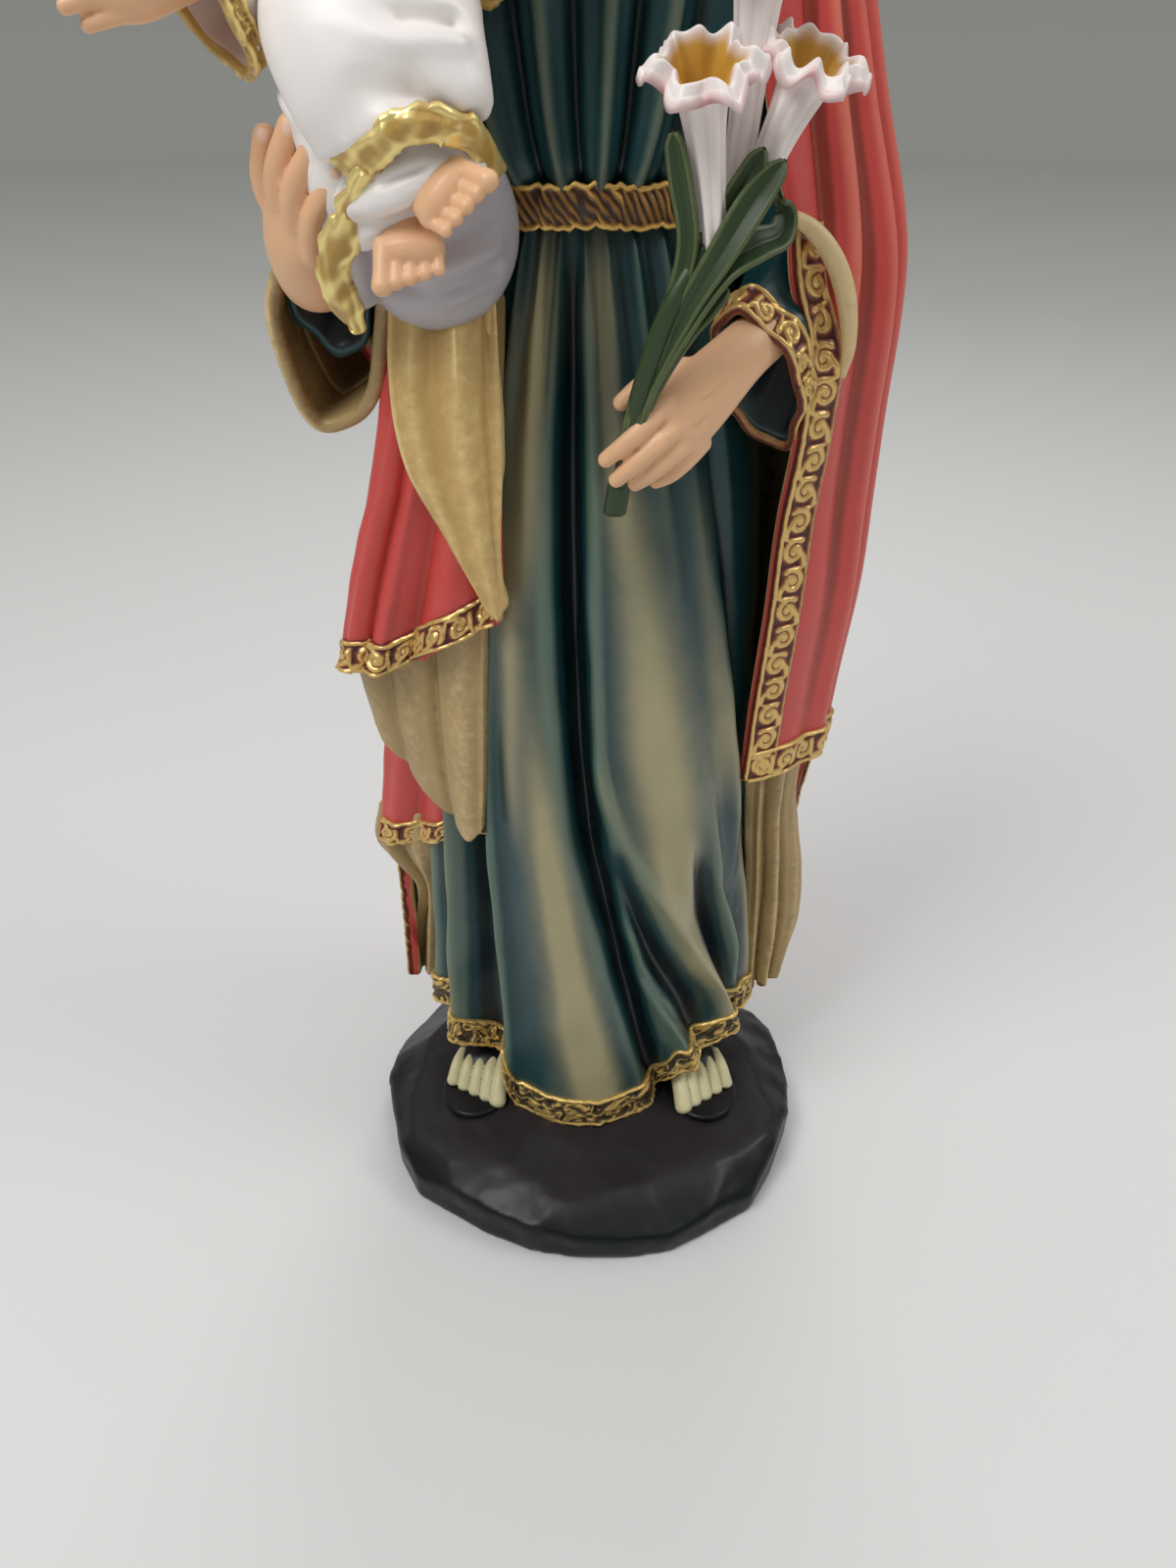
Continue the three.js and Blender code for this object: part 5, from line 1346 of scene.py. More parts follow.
trumpetPiece("lily3", [(12, -19, 123), (13, -17.6, 134), (13.6, -17, 143), (13.7, -18.6, 147.4)], 4.1, 1.7)
bud = sweep([[14, -21, 126.4, 0.5, 0.5], [14.8, -20.4, 128, 0.9, 0.9], [15.8, -20, 129.8, 0.35, 0.35]],
            [1, 0, 0], 16, 14)
loftPiece("lilyBud", bud, petalPaint)
print("lilies")


# the child

childBody = [
    sweep([[-18, -8, 163.5, 4, 3.6], [-18, -8.4, 160, 7.2, 5.2], [-18, -8.6, 150, 7.2, 6.2],
           [-18, -8, 141, 8.4, 7.4]], [1, 0, 0], 60, 40, 0.2),
    sweep([[-18, -4, 139.4, 8.4, 6.4], [-17.8, -12, 140, 9, 7], [-17, -18.6, 138.8, 8.8, 6],
           [-15.4, -21.8, 134.6, 8, 4.6], [-14.6, -22, 131.8, 7.4, 3.6]], [1, 0, 0], 70, 60, 0.2),
    sweep([[-20.6, -14, 137, 5.2, 4.6], [-21, -15.6, 131, 4, 4.4], [-21.4, -15, 125, 2.6, 4],
           [-20.6, -14, 118.4, 2, 3.2]], [1, 0, 0], 40, 30, 0.4),
    egg([-14, -11.4, 123.8], [7.8, 6, 8.8], 50, 30),
]
gownLines = creases([
    # the cloth drawn across the lap, from the child's right hip to the left knee
    ([(-27, -12, 145), (-23.6, -18, 142.4), (-19, -22.4, 140.4), (-14, -24.4, 139.6), (-10, -23, 139.4)],
     0.8, -0.9),
    ([(-27, -12, 143), (-23.6, -18.6, 141), (-19, -23.4, 138.6), (-14, -25.4, 137.8), (-10, -23.6, 137.8)],
     1.1, 0.6),
    ([(-26.4, -14, 140), (-24.2, -18, 139.8), (-21, -21.6, 140.6), (-17, -22.4, 142)], 0.8, -0.8),
    ([(-26.4, -14, 136.4), (-24.6, -18, 134.8), (-21.8, -21.6, 136), (-19, -24, 138)], 0.7, -0.8),
    ([(-25.6, -15, 134.6), (-23.6, -18.6, 132.8), (-20.6, -22.4, 134), (-18, -24.6, 136)], 0.9, 0.6),
    ([(-20, -23.4, 133), (-16.8, -25.2, 134.8), (-13.6, -25.8, 134.6), (-11.6, -25.2, 133)], 1.3, -1.0),
    ([(-18.4, -24.8, 131.6), (-15.4, -26, 133), (-12.6, -26, 133.2)], 0.8, 0.5),
    ([(-10.4, -16, 143), (-9.2, -21.4, 138), (-8.4, -22, 133)], 0.8, 0.6),
    ([(-12.4, -16, 143), (-11, -22, 138.4), (-10.4, -23.4, 134)], 0.8, -0.6),
    ([(-25, -8, 150), (-21, -14, 146), (-15, -15, 144)], 0.9, -0.7),
    ([(-12, -10, 152), (-14, -15, 147), (-19, -15.6, 143)], 0.9, -0.7),
    ([(-24.4, -12, 147.6), (-19, -16, 143), (-12, -15.6, 142)], 1.0, -0.7),
    ([(-21, -13, 160), (-20.4, -15, 152), (-20, -15, 146)], 0.8, -0.55),
    ([(-15, -13, 160), (-15.6, -15, 152), (-16, -15, 146)], 0.8, -0.55),
    ([(-18, -1, 158), (-17.6, -1, 148)], 1.0, -0.6), ([(-22, -2, 156), (-22.6, -1, 145)], 1.0, 0.5),
    # the cloth under the child
    ([(-19.6, -14.6, 121), (-14, -17.6, 118.4), (-8.4, -15, 120.6)], 0.9, -0.6),
    ([(-20.4, -15, 126), (-15, -17.8, 122.4), (-7.6, -15.6, 125)], 1.0, -0.5),
    ([(-19.8, -15, 123.6), (-14, -17.8, 120.6), (-8, -15.4, 122.8)], 1.0, 0.5),
    ([(-13, -16, 116.4), (-9, -14.6, 118)], 0.8, -0.5),
    ([(-24.6, -16, 131), (-22.4, -19, 129.6), (-20.4, -20, 129)], 0.6, -0.5),
    ([(-25, -16, 126.6), (-22.4, -18.6, 125.6)], 0.6, -0.5),
    ([(-24.6, -16, 122.6), (-22, -18, 121.6)], 0.5, -0.4),
])


def gownPaintAt(points):
    # painted shade on the gown's underside, below the lap
    low = ramp(131, 126, points[:, 2]) * ramp(-22, -19, points[:, 0])
    return {"shade": np.clip(low * 0.9, 0, 1)}


fusePiece("childGown", childBody, 0.36, 5, gownPaint, gownLines, gownPaintAt, 30, 1.6)
# the gown's hem: crumpled gilt bands, each between an upper and a lower edge
hems = {
    "gownHemUpper": (
        [(-19.8, -22.3, 128.9), (-18.2, -23.8, 128.8), (-16.8, -25.2, 129.5), (-15.2, -26.2, 130.5),
         (-13.7, -26.6, 131.3), (-12, -26.4, 131.6), (-10.5, -25.6, 131.2), (-9.3, -24.2, 130.8),
         (-8.4, -22.2, 129.6), (-7.6, -19, 127.6)],
        [(-20.7, -23.5, 130.6), (-18.5, -25.1, 131.9), (-16.5, -26.2, 132.4), (-14.9, -26.8, 133.1),
         (-13, -27, 133.6), (-11.3, -26.6, 133.4), (-9.9, -25.8, 132.9), (-8.5, -24.2, 132.4),
         (-7.6, -22, 131), (-6.8, -19, 129)], 21),
    "gownHemFold": (
        [(-17, -25, 130), (-18.6, -24, 128.6), (-19.4, -23.2, 127.5), (-20.3, -22.2, 126.5),
         (-20.8, -21.4, 125.4)],
        [(-15.9, -24.8, 130), (-17.1, -23.8, 128.3), (-17.8, -23, 127), (-18.4, -22, 126.2),
         (-19, -21.4, 125.4)], 22),
    "gownHemLower": (
        [(-20.4, -21.4, 126.3), (-22, -20.6, 124.4), (-23, -19.6, 122.1), (-23.2, -18.8, 120.2),
         (-22.8, -18, 118.2), (-21.2, -17, 116)],
        [(-19.1, -21.6, 126), (-19.3, -20.8, 124), (-20.2, -20, 122.4), (-21, -19, 120.7),
         (-20.6, -18.2, 118.6), (-20.4, -17.2, 116)], 23),
}


def buildHem(name, lower, upper, seed):
    lower, upper = np.array(lower, float), np.array(upper, float)
    bulge = (lower + upper) / 2 + [-0.1, -0.7, 0.2]
    grid = net([lower, bulge, upper], 30, 200)
    spots = grid.reshape(-1, 3)
    broad, fine = wobble(spots, 3.4, seed), wobble(spots, 1.7, seed + 5)
    crumple = np.clip(0.7 * broad + 0.5 * fine, -1, 1).reshape(grid.shape[:2])
    edge = np.abs(np.linspace(-1, 1, len(grid))) ** 6
    points = grid + np.array([-0.12, -0.9, 0.25]) * (0.22 * crumple + 0.12 * edge[:, None])[..., None]
    sheetPiece(name, points, 1.0, gownGilt, gownGilt, 0.25 + 0.6 * crumple + 0.5 * edge[:, None])


for name, (lower, upper, seed) in hems.items():
    buildHem(name, lower, upper, seed)
# the shift under the gown, drawn over the child's left foot
shift = [
    sweep([[-19.6, -19, 127, 1.6, 2.6], [-16.4, -22.4, 128.4, 1.8, 3], [-13, -23, 130, 1.8, 3],
           [-9.8, -21, 130, 1.6, 2.6]], [0, -0.7, 0.7], 40, 40),
    sweep([[-18.6, -18.4, 124.6, 1.4, 2.4], [-16.8, -20.8, 125.8, 1.6, 2.2], [-14.4, -20.6, 126.6, 1.6, 2]],
          [0, -0.7, 0.7], 40, 30),
]
shiftLines = creases([
    ([(-19, -22, 127), (-16, -25, 128.6), (-12.6, -25.6, 129.8)], 0.4, -0.4),
    ([(-19, -21, 125.6), (-16.4, -24, 126.8), (-14, -24, 128)], 0.4, -0.4),
    ([(-18, -21.6, 123.8), (-16, -23, 124.8)], 0.35, -0.3),
])
fusePiece("childShift", shift, 0.25, 4, gownPaint, shiftLines, None, 16, 3.0)
childSleeves = {
    "childSleeveRight": ([[-22.6, -8.6, 158, 4, 4], [-26, -11.4, 149.4, 4, 4.6],
                          [-27.6, -14.6, 143.6, 3.6, 5.2], [-30.4, -17.6, 140.8, 3.3, 5.6]], (-0.5, 0.8, 0)),
    "childSleeveLeft": ([[-13, -9, 158, 4, 4], [-8.6, -13, 149.6, 4, 4.4], [-5.6, -16.4, 144.4, 3, 4.8]],
                        (0.5, 0.8, 0)),
}
for name, (stations, side) in childSleeves.items():
    rings = sleevePiece(name, stations, side, 90, 50, gownPaint, 0.4,
                        [(4, 0.25, 0.5), (7, 0.15, -0.4)])
    mouth = np.concatenate([rings[::-1][:16], rings[::-1][:16, :1]], axis=1)
    borderPiece(name + "Cuff", mouth, 2.0, 1.6, gownGilt, leafRelief, flip=True, seed=13, rough=0.3)
childRightArm = [
    sweep([[-27, -12, 145, 2, 2], [-31.4, -17.4, 142.6, 1.9, 1.9], [-34.6, -20, 141.4, 2.2, 1.7],
           [-36.6, -21.4, 141.4, 2.3, 1.3]], [0, 0, 1], 24, 30),
    finger([[-36, -21.3, 143.2], [-37.4, -22.2, 143.6], [-39.2, -22.9, 143.4]], 0.82),
    finger([[-36.2, -21.5, 142], [-38, -22.5, 142.1], [-39.6, -23.1, 141.7]], 0.84),
    finger([[-36.2, -21.5, 140.8], [-37.8, -22.4, 140.7], [-39.4, -23, 140.2]], 0.82),
    finger([[-35.8, -21.2, 139.8], [-37, -21.9, 139.4], [-38.2, -22.3, 139]], 0.74),
    finger([[-34.4, -20.2, 142.8], [-35.2, -21, 144.6], [-36.2, -21.8, 145.8]], 0.85),
]
childLeftArm = [
    sweep([[-8, -14, 147, 1.9, 1.9], [-3.6, -16.6, 147.6, 1.8, 1.8], [-0.8, -16.6, 149.6, 2.1, 1.5],
           [0.4, -15.9, 151.4, 2.1, 1.2]], [0.6, 0, -0.6], 24, 30),
    finger([[-0.6, -16.2, 151.4], [-0.4, -15.8, 153.2], [0.2, -15.2, 154.6]], 0.8),
    finger([[0.4, -16, 151.2], [1, -15.4, 152.6], [1.6, -14.8, 153.8]], 0.8),
    finger([[1.2, -15.8, 150.6], [2, -15, 151.6], [2.6, -14.4, 152.4]], 0.78),
    finger([[-1.8, -17, 150], [-2, -17.4, 151.6], [-1.6, -17.2, 152.8]], 0.8),
]
fusePiece("childArmRight", childRightArm, 0.16, 3, fleshPaint)
fusePiece("childArmLeft", childLeftArm, 0.16, 3, fleshPaint)


def barefoot(heel, ball, toe, side, toes):
    # a foot with five toes side by side; the first is the largest
    heel, ball, toe, side = [np.array(v, float) for v in (heel, ball, toe, side)]
    parts = [sweep([[*heel, 2, 2], [*mix(heel, ball, 0.6), 2.4, 1.9], [*ball, 2.9, 1.5]], side, 30, 24)]
    ahead, side = unit(toe - ball), unit(side)
    for k in range(5):
        place = (k - 2) * 1.18 * toes
        size = [0.95, 0.72, 0.68, 0.62, 0.56][k]
        root = ball + side * place * 0.95 - ahead * 0.4
        tip = toe + side * place - ahead * (0.35 * k)
        parts.append(sweep([[*root, size, size * 0.9], [*mix(root, tip, 0.6), size * 0.9, size * 0.85],
                            [*tip, size, size * 0.9]], side, 14, 12))
    return parts


childFoot1 = barefoot((-14.4, -20, 128.6), (-11.4, -25.2, 127.6), (-8.9, -27.2, 126.8), (0.5, 0.3, 0.8), -1)
childFoot2 = barefoot((-14.6, -18, 126), (-14.6, -23.2, 123.4), (-14.6, -24.9, 120.8), (1, 0, 0), 1)
fusePiece("childFoot1", childFoot1, 0.14, 3, fleshPaint)
fusePiece("childFoot2", childFoot2, 0.14, 3, fleshPaint)
print("child")


# heads: drawn facing -Y around the middle of the skull, then nodded, turned and set in place

headSettings = {
    "man": {"at": (0, -0.6, 189.6), "turn": -14, "nod": 6, "half": (8.4, 10.2, 12.6), "child": 0.0},
    "boy": {"at": (-18.4, -9.6, 171.8), "turn": 4, "nod": 4, "half": (6.6, 7.6, 8.6), "child": 1.0},
}


def setHead(points, s):
    nod, turn = np.radians(s["nod"]), np.radians(s["turn"])
    x, y, z = points[..., 0], points[..., 1], points[..., 2]
    y, z = y * np.cos(nod) - z * np.sin(nod), y * np.sin(nod) + z * np.cos(nod)
    x, y = x * np.cos(turn) - y * np.sin(turn), x * np.sin(turn) + y * np.cos(turn)
    return np.stack([x, y, z], -1) + np.array(s["at"])


def buildFace(name, s):
    young = s["child"]
    rows, columns = 210, 260
    lift = np.radians(np.linspace(-88, 88, rows))[:, None]
    even = np.linspace(0, 2 * pi, columns, endpoint=False)[None, :]
    turn = even - 0.55 * np.sin(even)
    x, y, z = np.sin(turn) * np.cos(lift), -np.cos(turn) * np.cos(lift), np.sin(lift) + 0 * turn
    front = ramp(0.15, 0.75, -y)
    side = np.abs(x)
    eyeX, eyeZ = 0.33, 0.0 - 0.04 * young

    def spot(px, pz, wide, high):
        return bell(side - px, wide) * bell(z - pz, high) * front

    jaw = (-0.2 + 0.05 * young) * ramp(-0.2, -0.9, z) * ramp(0.9, -0.2, -y)
    nose = (0.19 - 0.07 * young) * bell(x, 0.1) * bell(z + 0.29, 0.1) * front
    bridge = (0.085 - 0.04 * young) * bell(x, 0.085) * bell(z + 0.1, 0.17) * front
    wings = (0.055 - 0.015 * young) * spot(0.115, -0.32, 0.05, 0.05)
    nostrils = -0.05 * spot(0.07, -0.385, 0.03, 0.022)
    sockets = -0.085 * spot(eyeX, eyeZ + 0.02, 0.15, 0.1) - 0.03 * spot(0.14, eyeZ + 0.03, 0.06, 0.08)
    balls = 0.062 * spot(eyeX, eyeZ, 0.105, 0.062)
    arch = eyeZ + 0.062 - 0.9 * (side - eyeX) ** 2 * 3
    upperLid = 0.02 * bell(z - arch, 0.02) * bell(side - eyeX, 0.13) * front
    lowerLid = 0.012 * bell(z - (2 * eyeZ - arch - 0.01), 0.018) * bell(side - eyeX, 0.12) * front
    browRidge = eyeZ + 0.19 - 0.35 * (side - 0.3) ** 2 * 2
    brow = (0.04 - 0.02 * young) * bell(z - browRidge, 0.06) * bell(side - 0.32, 0.24) * front
    cheeks = (0.03 + 0.03 * young) * spot(0.42, -0.3, 0.2, 0.17)
    lipLine = -0.56 + 0.05 * side
    width = bell(x, 0.17 - 0.03 * young)
    upperLip = 0.042 * width * bell(z - (lipLine + 0.035 - 0.02 * bell(x, 0.03)), 0.028) * front
    lowerLip = 0.052 * width * bell(z - (lipLine - 0.045), 0.034) * front
    mouth = -0.035 * bell(x, 0.19) * bell(z - lipLine, 0.012) * front
    philtrum = -0.012 * bell(x, 0.03) * bell(z + 0.46, 0.05) * front
    chin = (0.1 - 0.02 * young) * bell(x, 0.26) * bell(z + 0.83, 0.14) * front
    chin = chin - 0.03 * bell(x, 0.2) * bell(z + 0.69, 0.04) * front
    temples = -0.03 * spot(0.75, 0.1, 0.15, 0.25)
    push = jaw + nose + bridge + wings + nostrils + sockets + balls + upperLid + lowerLid + brow + cheeks
    push = push + upperLip + lowerLip + mouth + philtrum + chin + temples
    w, d, h = s["half"]
    grow = 1 + push
    rings = setHead(np.stack([x * w * grow, y * d * grow, z * h * grow], -1), s)
    lidGap = 0.052 * np.sqrt(np.clip(1 - ((side - eyeX) / 0.14) ** 2, 0.02, 1))
    lens = ((side - eyeX) / 0.125) ** 2 + ((z - eyeZ - 0.004) / lidGap) ** 2
    whites = ramp(1.15, 0.8, lens) * front
    irises = ramp(0.062, 0.048, np.hypot(side - eyeX, z - eyeZ)) * whites
    browLine = eyeZ + 0.2 - 0.7 * (side - 0.3) ** 2 * 1.5
    brows = bell(z - browLine, 0.028) * ramp(0.56, 0.46, side) * ramp(0.1, 0.16, side) * front
    lips = np.clip(bell(z - lipLine, 0.07) * ramp(0.2, 0.15, side) * front * 1.2, 0, 1)
    blush = 0.5 * spot(0.45, -0.28, 0.2, 0.16) + 0.25 * bell(x, 0.1) * bell(z + 0.3, 0.1) * front
    blush = np.clip(blush, 0, 1)
    lashes = bell(z - arch + 0.008, 0.011) * bell(side - eyeX, 0.13) * front
    # the relief darkens the lash line as paint, and the nostrils and the parting of the lips as painted
    # shade
    loftPiece(name, rings, fleshPaint, -lashes * 1.2 + nostrils * 30 + mouth * 25,
              {"whites": whites * (1 - irises), "irises": irises,
               "brows": np.clip(brows + lashes * 0.8, 0, 1) * (1 - 0.3 * young),
               "lips": lips, "blush": blush})
    ears = [egg((way * w * 0.98, d * 0.12, -h * 0.1), (1.1, 1.9, 2.9), 24, 16) for way in (-1, 1)]
    fusePiece(name + "Ears", [setHead(ear, s) for ear in ears], 0.25, 3, fleshPaint)


def headLock(s, bearing, top, low, grow, radius, waviness, phase, drop=0.0, inward=0.0):
    # a lock of hair over the skull from one height to another, then hanging free
    w, d, h = s["half"]
    stations = []
    for k in range(9):
        t = k / 8
        lift = np.radians(mix(top, low, t))
        turn = np.radians(bearing + waviness * np.sin(t * 7 + phase))
        out = np.array([np.sin(turn) * np.cos(lift), -np.cos(turn) * np.cos(lift), np.sin(lift)])
        place = out * np.array([w, d, h]) * (grow + 0.03 * np.sin(t * 9 + phase * 2))
        stations.append([*place, radius, radius * 0.8])
    last = np.array(stations[-1][:3])
    for k in range(1, 4 if drop else 1):
        closer = 1 - inward * k / 3
        fall = last * [closer, closer, 1] + np.array([0.5 * np.sin(k * 2 + phase), 0, -drop * k / 3])
        stations.append([*fall, radius * (1 - 0.22 * k), radius * 0.8 * (1 - 0.22 * k)])
    return setHead(sweep(stations, (0.3, 0.2, 1), 14, 44), s)


def buildManHair(s):
    w, d, h = s["half"]
    cap = egg((0, 0.16 * d, 0.1 * h), (w * 1.03, d * 1.02, h * 1.04), 60, 40)
    keep = cap[..., 1] > -0.62 * d * ramp(0.2, 0.9, cap[..., 2] / h)
    cap[..., 1] = np.where(keep, cap[..., 1], -0.62 * d * ramp(0.2, 0.9, cap[..., 2] / h))
    parts = [setHead(cap, s)]
    rng = np.random.default_rng(21)
    for side in (-1, 1):
        for k, bearing in enumerate(np.linspace(56, 172, 16)):
            face = ramp(90, 56, bearing)
            parts.append(headLock(s, side * bearing, mix(84, 62, face), -22, 1.08 + 0.02 * (k % 2), 1.5, 7,
                                  k * 1.7 + side, mix(16, 13.5, face), mix(0.12, 0.2, face)))
        for k, bearing in enumerate(np.linspace(58, 165, 12)):
            parts.append(headLock(s, side * (bearing + rng.uniform(-3, 3)),
                                  mix(80, 62, ramp(90, 58, bearing)), -6, 1.14, 1.05, 9, k * 2.3, 11, 0.1))
        for k in range(6):
            # the hair combed aside from the parting
            path = [(4 + 3 * k, 74), (26 + 5 * k, 60 - k), (46 + 5 * k, 45 - 2 * k),
                    (64 + 4 * k, 24 - 4 * k), (78 + 3 * k, -2 - 3 * k)]
            turn, lift = np.radians(np.array(path, float)).T
            across = side * np.sin(turn) * np.cos(lift)
            out = np.stack([across, -np.cos(turn) * np.cos(lift), np.sin(lift)], -1)
            size = np.array([1.0, 1.15, 1.2, 1.2, 1.0])
            stations = np.column_stack([out * [w, d, h] * 1.06, size, size * 0.8]).tolist()
            parts.append(setHead(sweep(stations, (0.3, 0.2, 1), 14, 40), s))
    fusePiece("manHair", parts, 0.34, 3, hairPaint, None, None, 12, 3.0)


def buildBeard(s):
    w, d, h = s["half"]

    def strand(rows, radius):
        return setHead(sweep([[x * w, y * d, z * h, radius, radius * 0.85] for x, y, z in rows],
                             (0.3, 0.2, 1), 14, 30), s)

    parts = []
    for side in (-1, 1):
        for k in range(9):
            t = k / 8
            x = side * mix(0.96, 0.08, t)
            y = mix(-0.1, -0.8, t**0.7)
            z = mix(-0.1, -0.78, t**0.8)
            end = (x * 0.45 + side * 0.04, mix(-0.5, -0.8, t), mix(-1.0, -1.5, t**0.6))
            bend = (x * 0.92 + side * 0.1 * np.sin(k * 2), mix(y, end[1], 0.5) - 0.12, mix(z, end[2], 0.45))
            near = (mix(bend[0], end[0], 0.6), end[1] - 0.04, mix(bend[2], end[2], 0.6))
            parts.append(strand([(x, y, z), bend, near, end], 1.25))
        for k in range(4):
            low = 0.06 * k
            parts.append(strand([(side * 0.05, -1.0, -0.44 - low * 0.3),
                                 (side * 0.2, -0.97, -0.49 - low * 0.4),
                                 (side * (0.36 + low * 0.3), -0.84, -0.64 - low),
                                 (side * (0.4 + low * 0.4), -0.74, -0.82 - low)], 0.62))
    parts.append(strand([(0, -0.88, -0.76), (0.04, -0.92, -1.0), (-0.03, -0.86, -1.28), (0, -0.78, -1.56)],
                        1.4))
    fusePiece("manBeard", parts, 0.3, 3, hairPaint, None, None, 12, 3.0)


def buildBoyHair(s):
    w, d, h = s["half"]
    cap = egg((0, 0.14 * d, 0.14 * h), (w * 1.03, d * 1.02, h * 1.02), 50, 34)
    cap[..., 1] = np.maximum(cap[..., 1], -0.7 * d * ramp(0.2, 0.9, cap[..., 2] / h))
    parts = [setHead(cap, s)]
    for side in (-1, 1):
        for k, bearing in enumerate(np.linspace(14, 170, 15)):
            parts.append(headLock(s, side * bearing, 78, mix(-34, 34, ramp(60, 15, bearing)), 1.1, 1.15, 11,
                                  k * 1.9 + side))
        for k, bearing in enumerate(np.linspace(8, 160, 11)):
            parts.append(headLock(s, side * bearing, 86, mix(-10, 46, ramp(60, 15, bearing)), 1.15, 0.85,
                                  14, k * 2.7 + side))
    fusePiece("boyHair", parts, 0.3, 3, childHairPaint, None, None, 12, 3.0)


buildFace("manFace", headSettings["man"])
buildFace("boyFace", headSettings["boy"])
buildManHair(headSettings["man"])
buildBeard(headSettings["man"])
buildBoyHair(headSettings["boy"])
necks = [
    sweep([[0, 3, 162, 7, 7], [0, 2, 172, 5.6, 5.8], [0, 1.4, 180, 5.4, 5.6]], (1, 0, 0), 40, 20),
    sweep([[-18.2, -8.4, 160, 3.8, 3.6], [-18.4, -8.8, 168, 3.2, 3.2]], (1, 0, 0), 30, 14),
]
for number, rings in enumerate(necks):
    loftPiece(f"neck{number + 1}", rings, fleshPaint)
print("heads")


# feet in sandals under the lifted hem

footSettings = {
    "footRight": {"heel": (-14, 4), "toe": (-16.6, -7.4), "side": (1, -0.2, 0), "big": 1},
    "footLeft": {"heel": (14, 4), "toe": (17.2, -8.2), "side": (1, 0.3, 0), "big": -1},
}


def buildFoot(name, s):
    heel, toe = np.array([*s["heel"], 12.4]), np.array([*s["toe"], 10.0])
    side, ahead = unit(np.array(s["side"], float)), unit(toe - heel)
    upper = [sweep([[*heel, 3, 3.2], [*mix(heel, toe, 0.5), 3.9, 2.6], [*mix(heel, toe, 0.68), 4.1, 1.7]],
                   side, 40, 30)]
    fusePiece(name + "Sandal", upper, 0.25, 2, rockPaint)
    toes = []
    for k in range(5):
        order = k if s["big"] < 0 else 4 - k
        size, place = [1.25, 1.05, 1.0, 0.96, 0.9][order], side * (k - 2) * 1.84
        root, tip = mix(heel, toe, 0.5) + place * 0.86 + [0, 0, 1.2], toe + place - ahead * 0.55 * order
        knuckle = mix(root, tip, 0.55) + [0, 0, 0.5]
        toes.append(sweep([[*root, size * 0.8, size], [*knuckle, size * 0.9, size * 1.1],
                           [*(tip - [0, 0, 0.5]), size, size * 0.85]], side, 20, 20))
    fusePiece(name + "Toes", toes, 0.14, 2, toePaint, None, None, 10, 6.0)
    turn = np.linspace(0, 2 * pi, 60, endpoint=False)[None, :]
    level = np.array([8.0, 8.8, 9.2, 9.4])[:, None]
    inset = np.array([0.3, 0, 0, 0.4])[:, None]
    centre = mix(heel, toe, 0.6)
    long, wide = 8.0 - inset, 5.1 - inset
    lengthwise = ahead * [1, 1, 0] * (long * np.cos(turn))[..., None]
    crosswise = side * (wide * np.sin(turn) * (1 + 0.12 * np.cos(turn)))[..., None]
    rings = centre[None, None, :] * [1, 1, 0] + lengthwise + crosswise
    rings[..., 2] = level
    loftPiece(name + "Sole", rings, rockPaint)


for name, s in footSettings.items():
    buildFoot(name, s)
print("feet")


# the rock: a block with an upright side, cut down on top by flat chisel strokes

rockSettings = {"side": 5.0, "top": 8.7, "strokes": 15, "seed": 5, "voxel": 0.5, "softness": 5}
rockOutline = [
    (-30.8, 1.6), (-27.4, -11.3), (-24.2, -17.3), (-14.3, -23.7), (-7.8, -26.6), (-1.1, -27.8),
    (4.9, -27.8), (11.2, -26.7), (15.7, -24.2), (23, -19.6), (26.5, -13.5), (29.8, -5.4), (31, 2.7),
    (29.8, 14), (25.5, 22), (15, 26.6), (0, 28), (-14, 26.8), (-24.6, 22.4), (-29.8, 12.4),
]


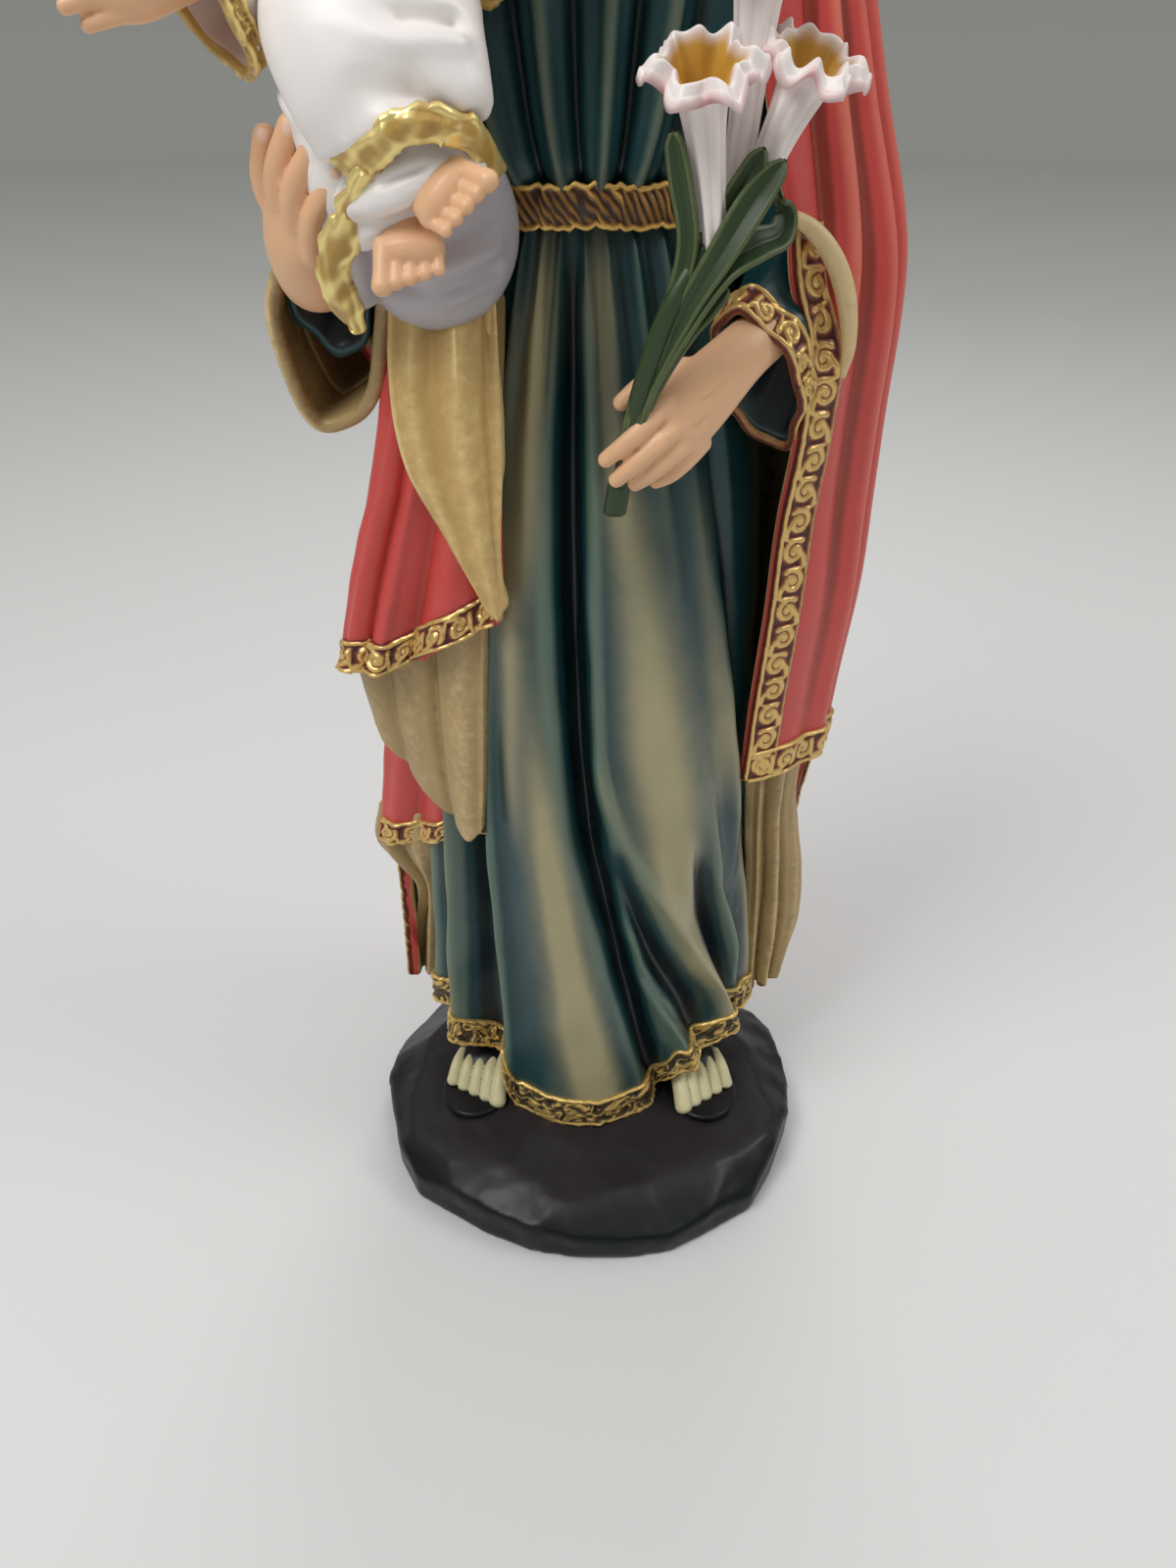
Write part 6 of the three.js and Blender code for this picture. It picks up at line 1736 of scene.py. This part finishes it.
def buildRock(s):
    rng = np.random.default_rng(s["seed"])
    outline = np.array(rockOutline)
    work = bmesh.new()
    for z, grow in ((0.0, 0.985), (s["side"], 1.0), (s["top"] + 3, 1.0)):
        for x, y in outline:
            work.verts.new((x * grow, y * grow, z))
    bmesh.ops.convex_hull(work, input=work.verts)
    strokes = []
    count = s["strokes"]
    for k in range(count):
        turn = k / count * 2 * pi + rng.uniform(-0.1, 0.1)
        slope = np.radians(rng.uniform(22, 44))
        edge = np.array([np.sin(turn) * 30.5, -np.cos(turn) * 27.6])
        facing = np.array([np.sin(turn) * np.sin(slope), -np.cos(turn) * np.sin(slope), np.cos(slope)])
        strokes.append((np.array([*(edge * rng.uniform(0.93, 0.98)), s["side"] + rng.uniform(0, 0.9)]),
                        facing))
    for x, y, tiltX, tiltY in ((0, -16, 0.04, -0.16), (-16, -8, -0.12, -0.06), (16, -8, 0.12, -0.07),
                               (0, 10, 0.01, 0.1), (20, 8, 0.15, 0.04), (-20, 8, -0.14, 0.05)):
        strokes.append((np.array([x, y, s["top"] - 0.1]), unit(np.array([tiltX, tiltY, 1.0]))))
    for place, facing in strokes:
        cut = bmesh.ops.bisect_plane(work, geom=work.verts[:] + work.edges[:] + work.faces[:],
                                     plane_co=place.tolist(), plane_no=facing.tolist(), clear_outer=True)
        edges = [e for e in cut["geom_cut"] if isinstance(e, bmesh.types.BMEdge)]
        if edges:
            bmesh.ops.edgeloop_fill(work, edges=edges)
    work.verts.index_update()
    points = np.array([v.co[:] for v in work.verts])
    faces = [[v.index for v in f.verts] for f in work.faces]
    work.free()
    mesh = remeshed("rock", points, faces, s["voxel"])
    points, edges, _ = meshArrays(mesh)
    points = evenOut(points, edges, s["softness"])
    mesh.vertices.foreach_set("co", (points * mm).ravel())
    mesh.update()
    points, edges, normals = meshArrays(mesh)
    uneven = 0.1 * wobble(points, 8, 31) + 0.03 * wobble(points, 3, 32)
    upper = ramp(0.5, 3, points[:, 2])
    points = points + normals * ((uneven - 0.12) * upper)[:, None]
    points[:, 2] = np.maximum(points[:, 2], 0)
    mesh.vertices.foreach_set("co", (points * mm).ravel())
    mesh.update()
    # relief for the paint: painted highlight on the chisel edges, painted shade in the hollows
    crest = ((points - evenOut(points, edges, 14)) * normals).sum(1) * 5
    addValues(mesh, {"relief": np.clip(crest, -2, 2), "top": 0.8 * ramp(4.4, 7.4, points[:, 2]),
                     "side": ramp(5.6, 4.0, points[:, 2])})
    placePiece("rock", mesh, [rockPaint])


buildRock(rockSettings)
print("rock")


# the table top and the wall behind it

stageSettings = {"radius": 2600, "bend": 400, "height": 2100,
                 "near": (214, 214, 213), "middle": (202, 202, 200), "far": (190, 190, 186)}


def buildStage(s):
    # a round floor that turns up into a wall, painted lighter near the figure and darker farther out, as a
    # painted falloff of light
    bend, flat = s["bend"], s["radius"] - s["bend"]
    turns = np.linspace(0, pi / 2, 10)[1:]
    profile = [(r, 0) for r in (200, 700, 1400, flat)]
    profile += [(flat + bend * np.sin(a), bend - bend * np.cos(a)) for a in turns]
    profile.append((s["radius"], s["height"]))
    turn = np.linspace(0, 2 * pi, 72, endpoint=False)
    rings = np.array([[(r * np.sin(a), -r * np.cos(a), z) for a in turn] for r, z in profile])
    faces = gridQuads(len(profile), 72, True).tolist() + [list(range(71, -1, -1))]
    mesh = buildMesh("stage", rings.reshape(-1, 3), faces)
    material = bpy.data.materials.new("stagePaint")
    material.use_nodes = True
    tree = material.node_tree
    shader = tree.nodes["Principled BSDF"]
    place = tree.nodes.new("ShaderNodeTexCoord")
    away = tree.nodes.new("ShaderNodeVectorMath")
    away.operation = "LENGTH"
    tree.links.new(place.outputs["Object"], away.inputs[0])
    distance = away.outputs["Value"]
    # the painted pool of light: brightest near the figure, dimming with distance
    light = blend(tree, between(tree, distance, 0.05, 0.5), paint(*s["near"]), paint(*s["middle"]))
    tree.links.new(blend(tree, between(tree, distance, 0.6, 1.6), light, paint(*s["far"])),
                   shader.inputs["Base Color"])
    shader.inputs["Roughness"].default_value = 0.7
    mesh.materials.append(material)
    mesh.polygons.foreach_set("use_smooth", [True] * len(mesh.polygons))
    stage = bpy.data.objects.new("stage", mesh)
    bpy.context.scene.collection.objects.link(stage)


buildStage(stageSettings)


lightSettings = {
    "world": 0.74,
    "lamps": [
        {"place": (-260, -260, 520), "aim": (0, 0, 90), "size": 240, "power": 1.5},
        {"place": (420, -80, 420), "aim": (0, 0, 90), "size": 200, "power": 0.6},
        {"place": (60, 420, 500), "aim": (0, 0, 120), "size": 220, "power": 0.7},
    ],
}


def buildLights(s):
    world = bpy.data.worlds.new("room")
    bpy.context.scene.world = world
    world.use_nodes = True
    world.node_tree.nodes["Background"].inputs["Color"].default_value = (1, 1, 1, 1)
    world.node_tree.nodes["Background"].inputs["Strength"].default_value = s["world"]
    for number, lamp in enumerate(s["lamps"]):
        data = bpy.data.lights.new(f"lamp{number + 1}", "AREA")
        data.size = lamp["size"] * mm
        data.energy = lamp["power"]
        holder = bpy.data.objects.new(f"lamp{number + 1}", data)
        holder.location = Vector(lamp["place"]) * mm
        aim = Vector(lamp["aim"]) * mm - holder.location
        holder.rotation_euler = aim.to_track_quat("-Z", "Y").to_euler()
        bpy.context.scene.collection.objects.link(holder)
    bpy.context.scene.view_settings.view_transform = "Standard"


buildLights(lightSettings)
print("stage and lights")
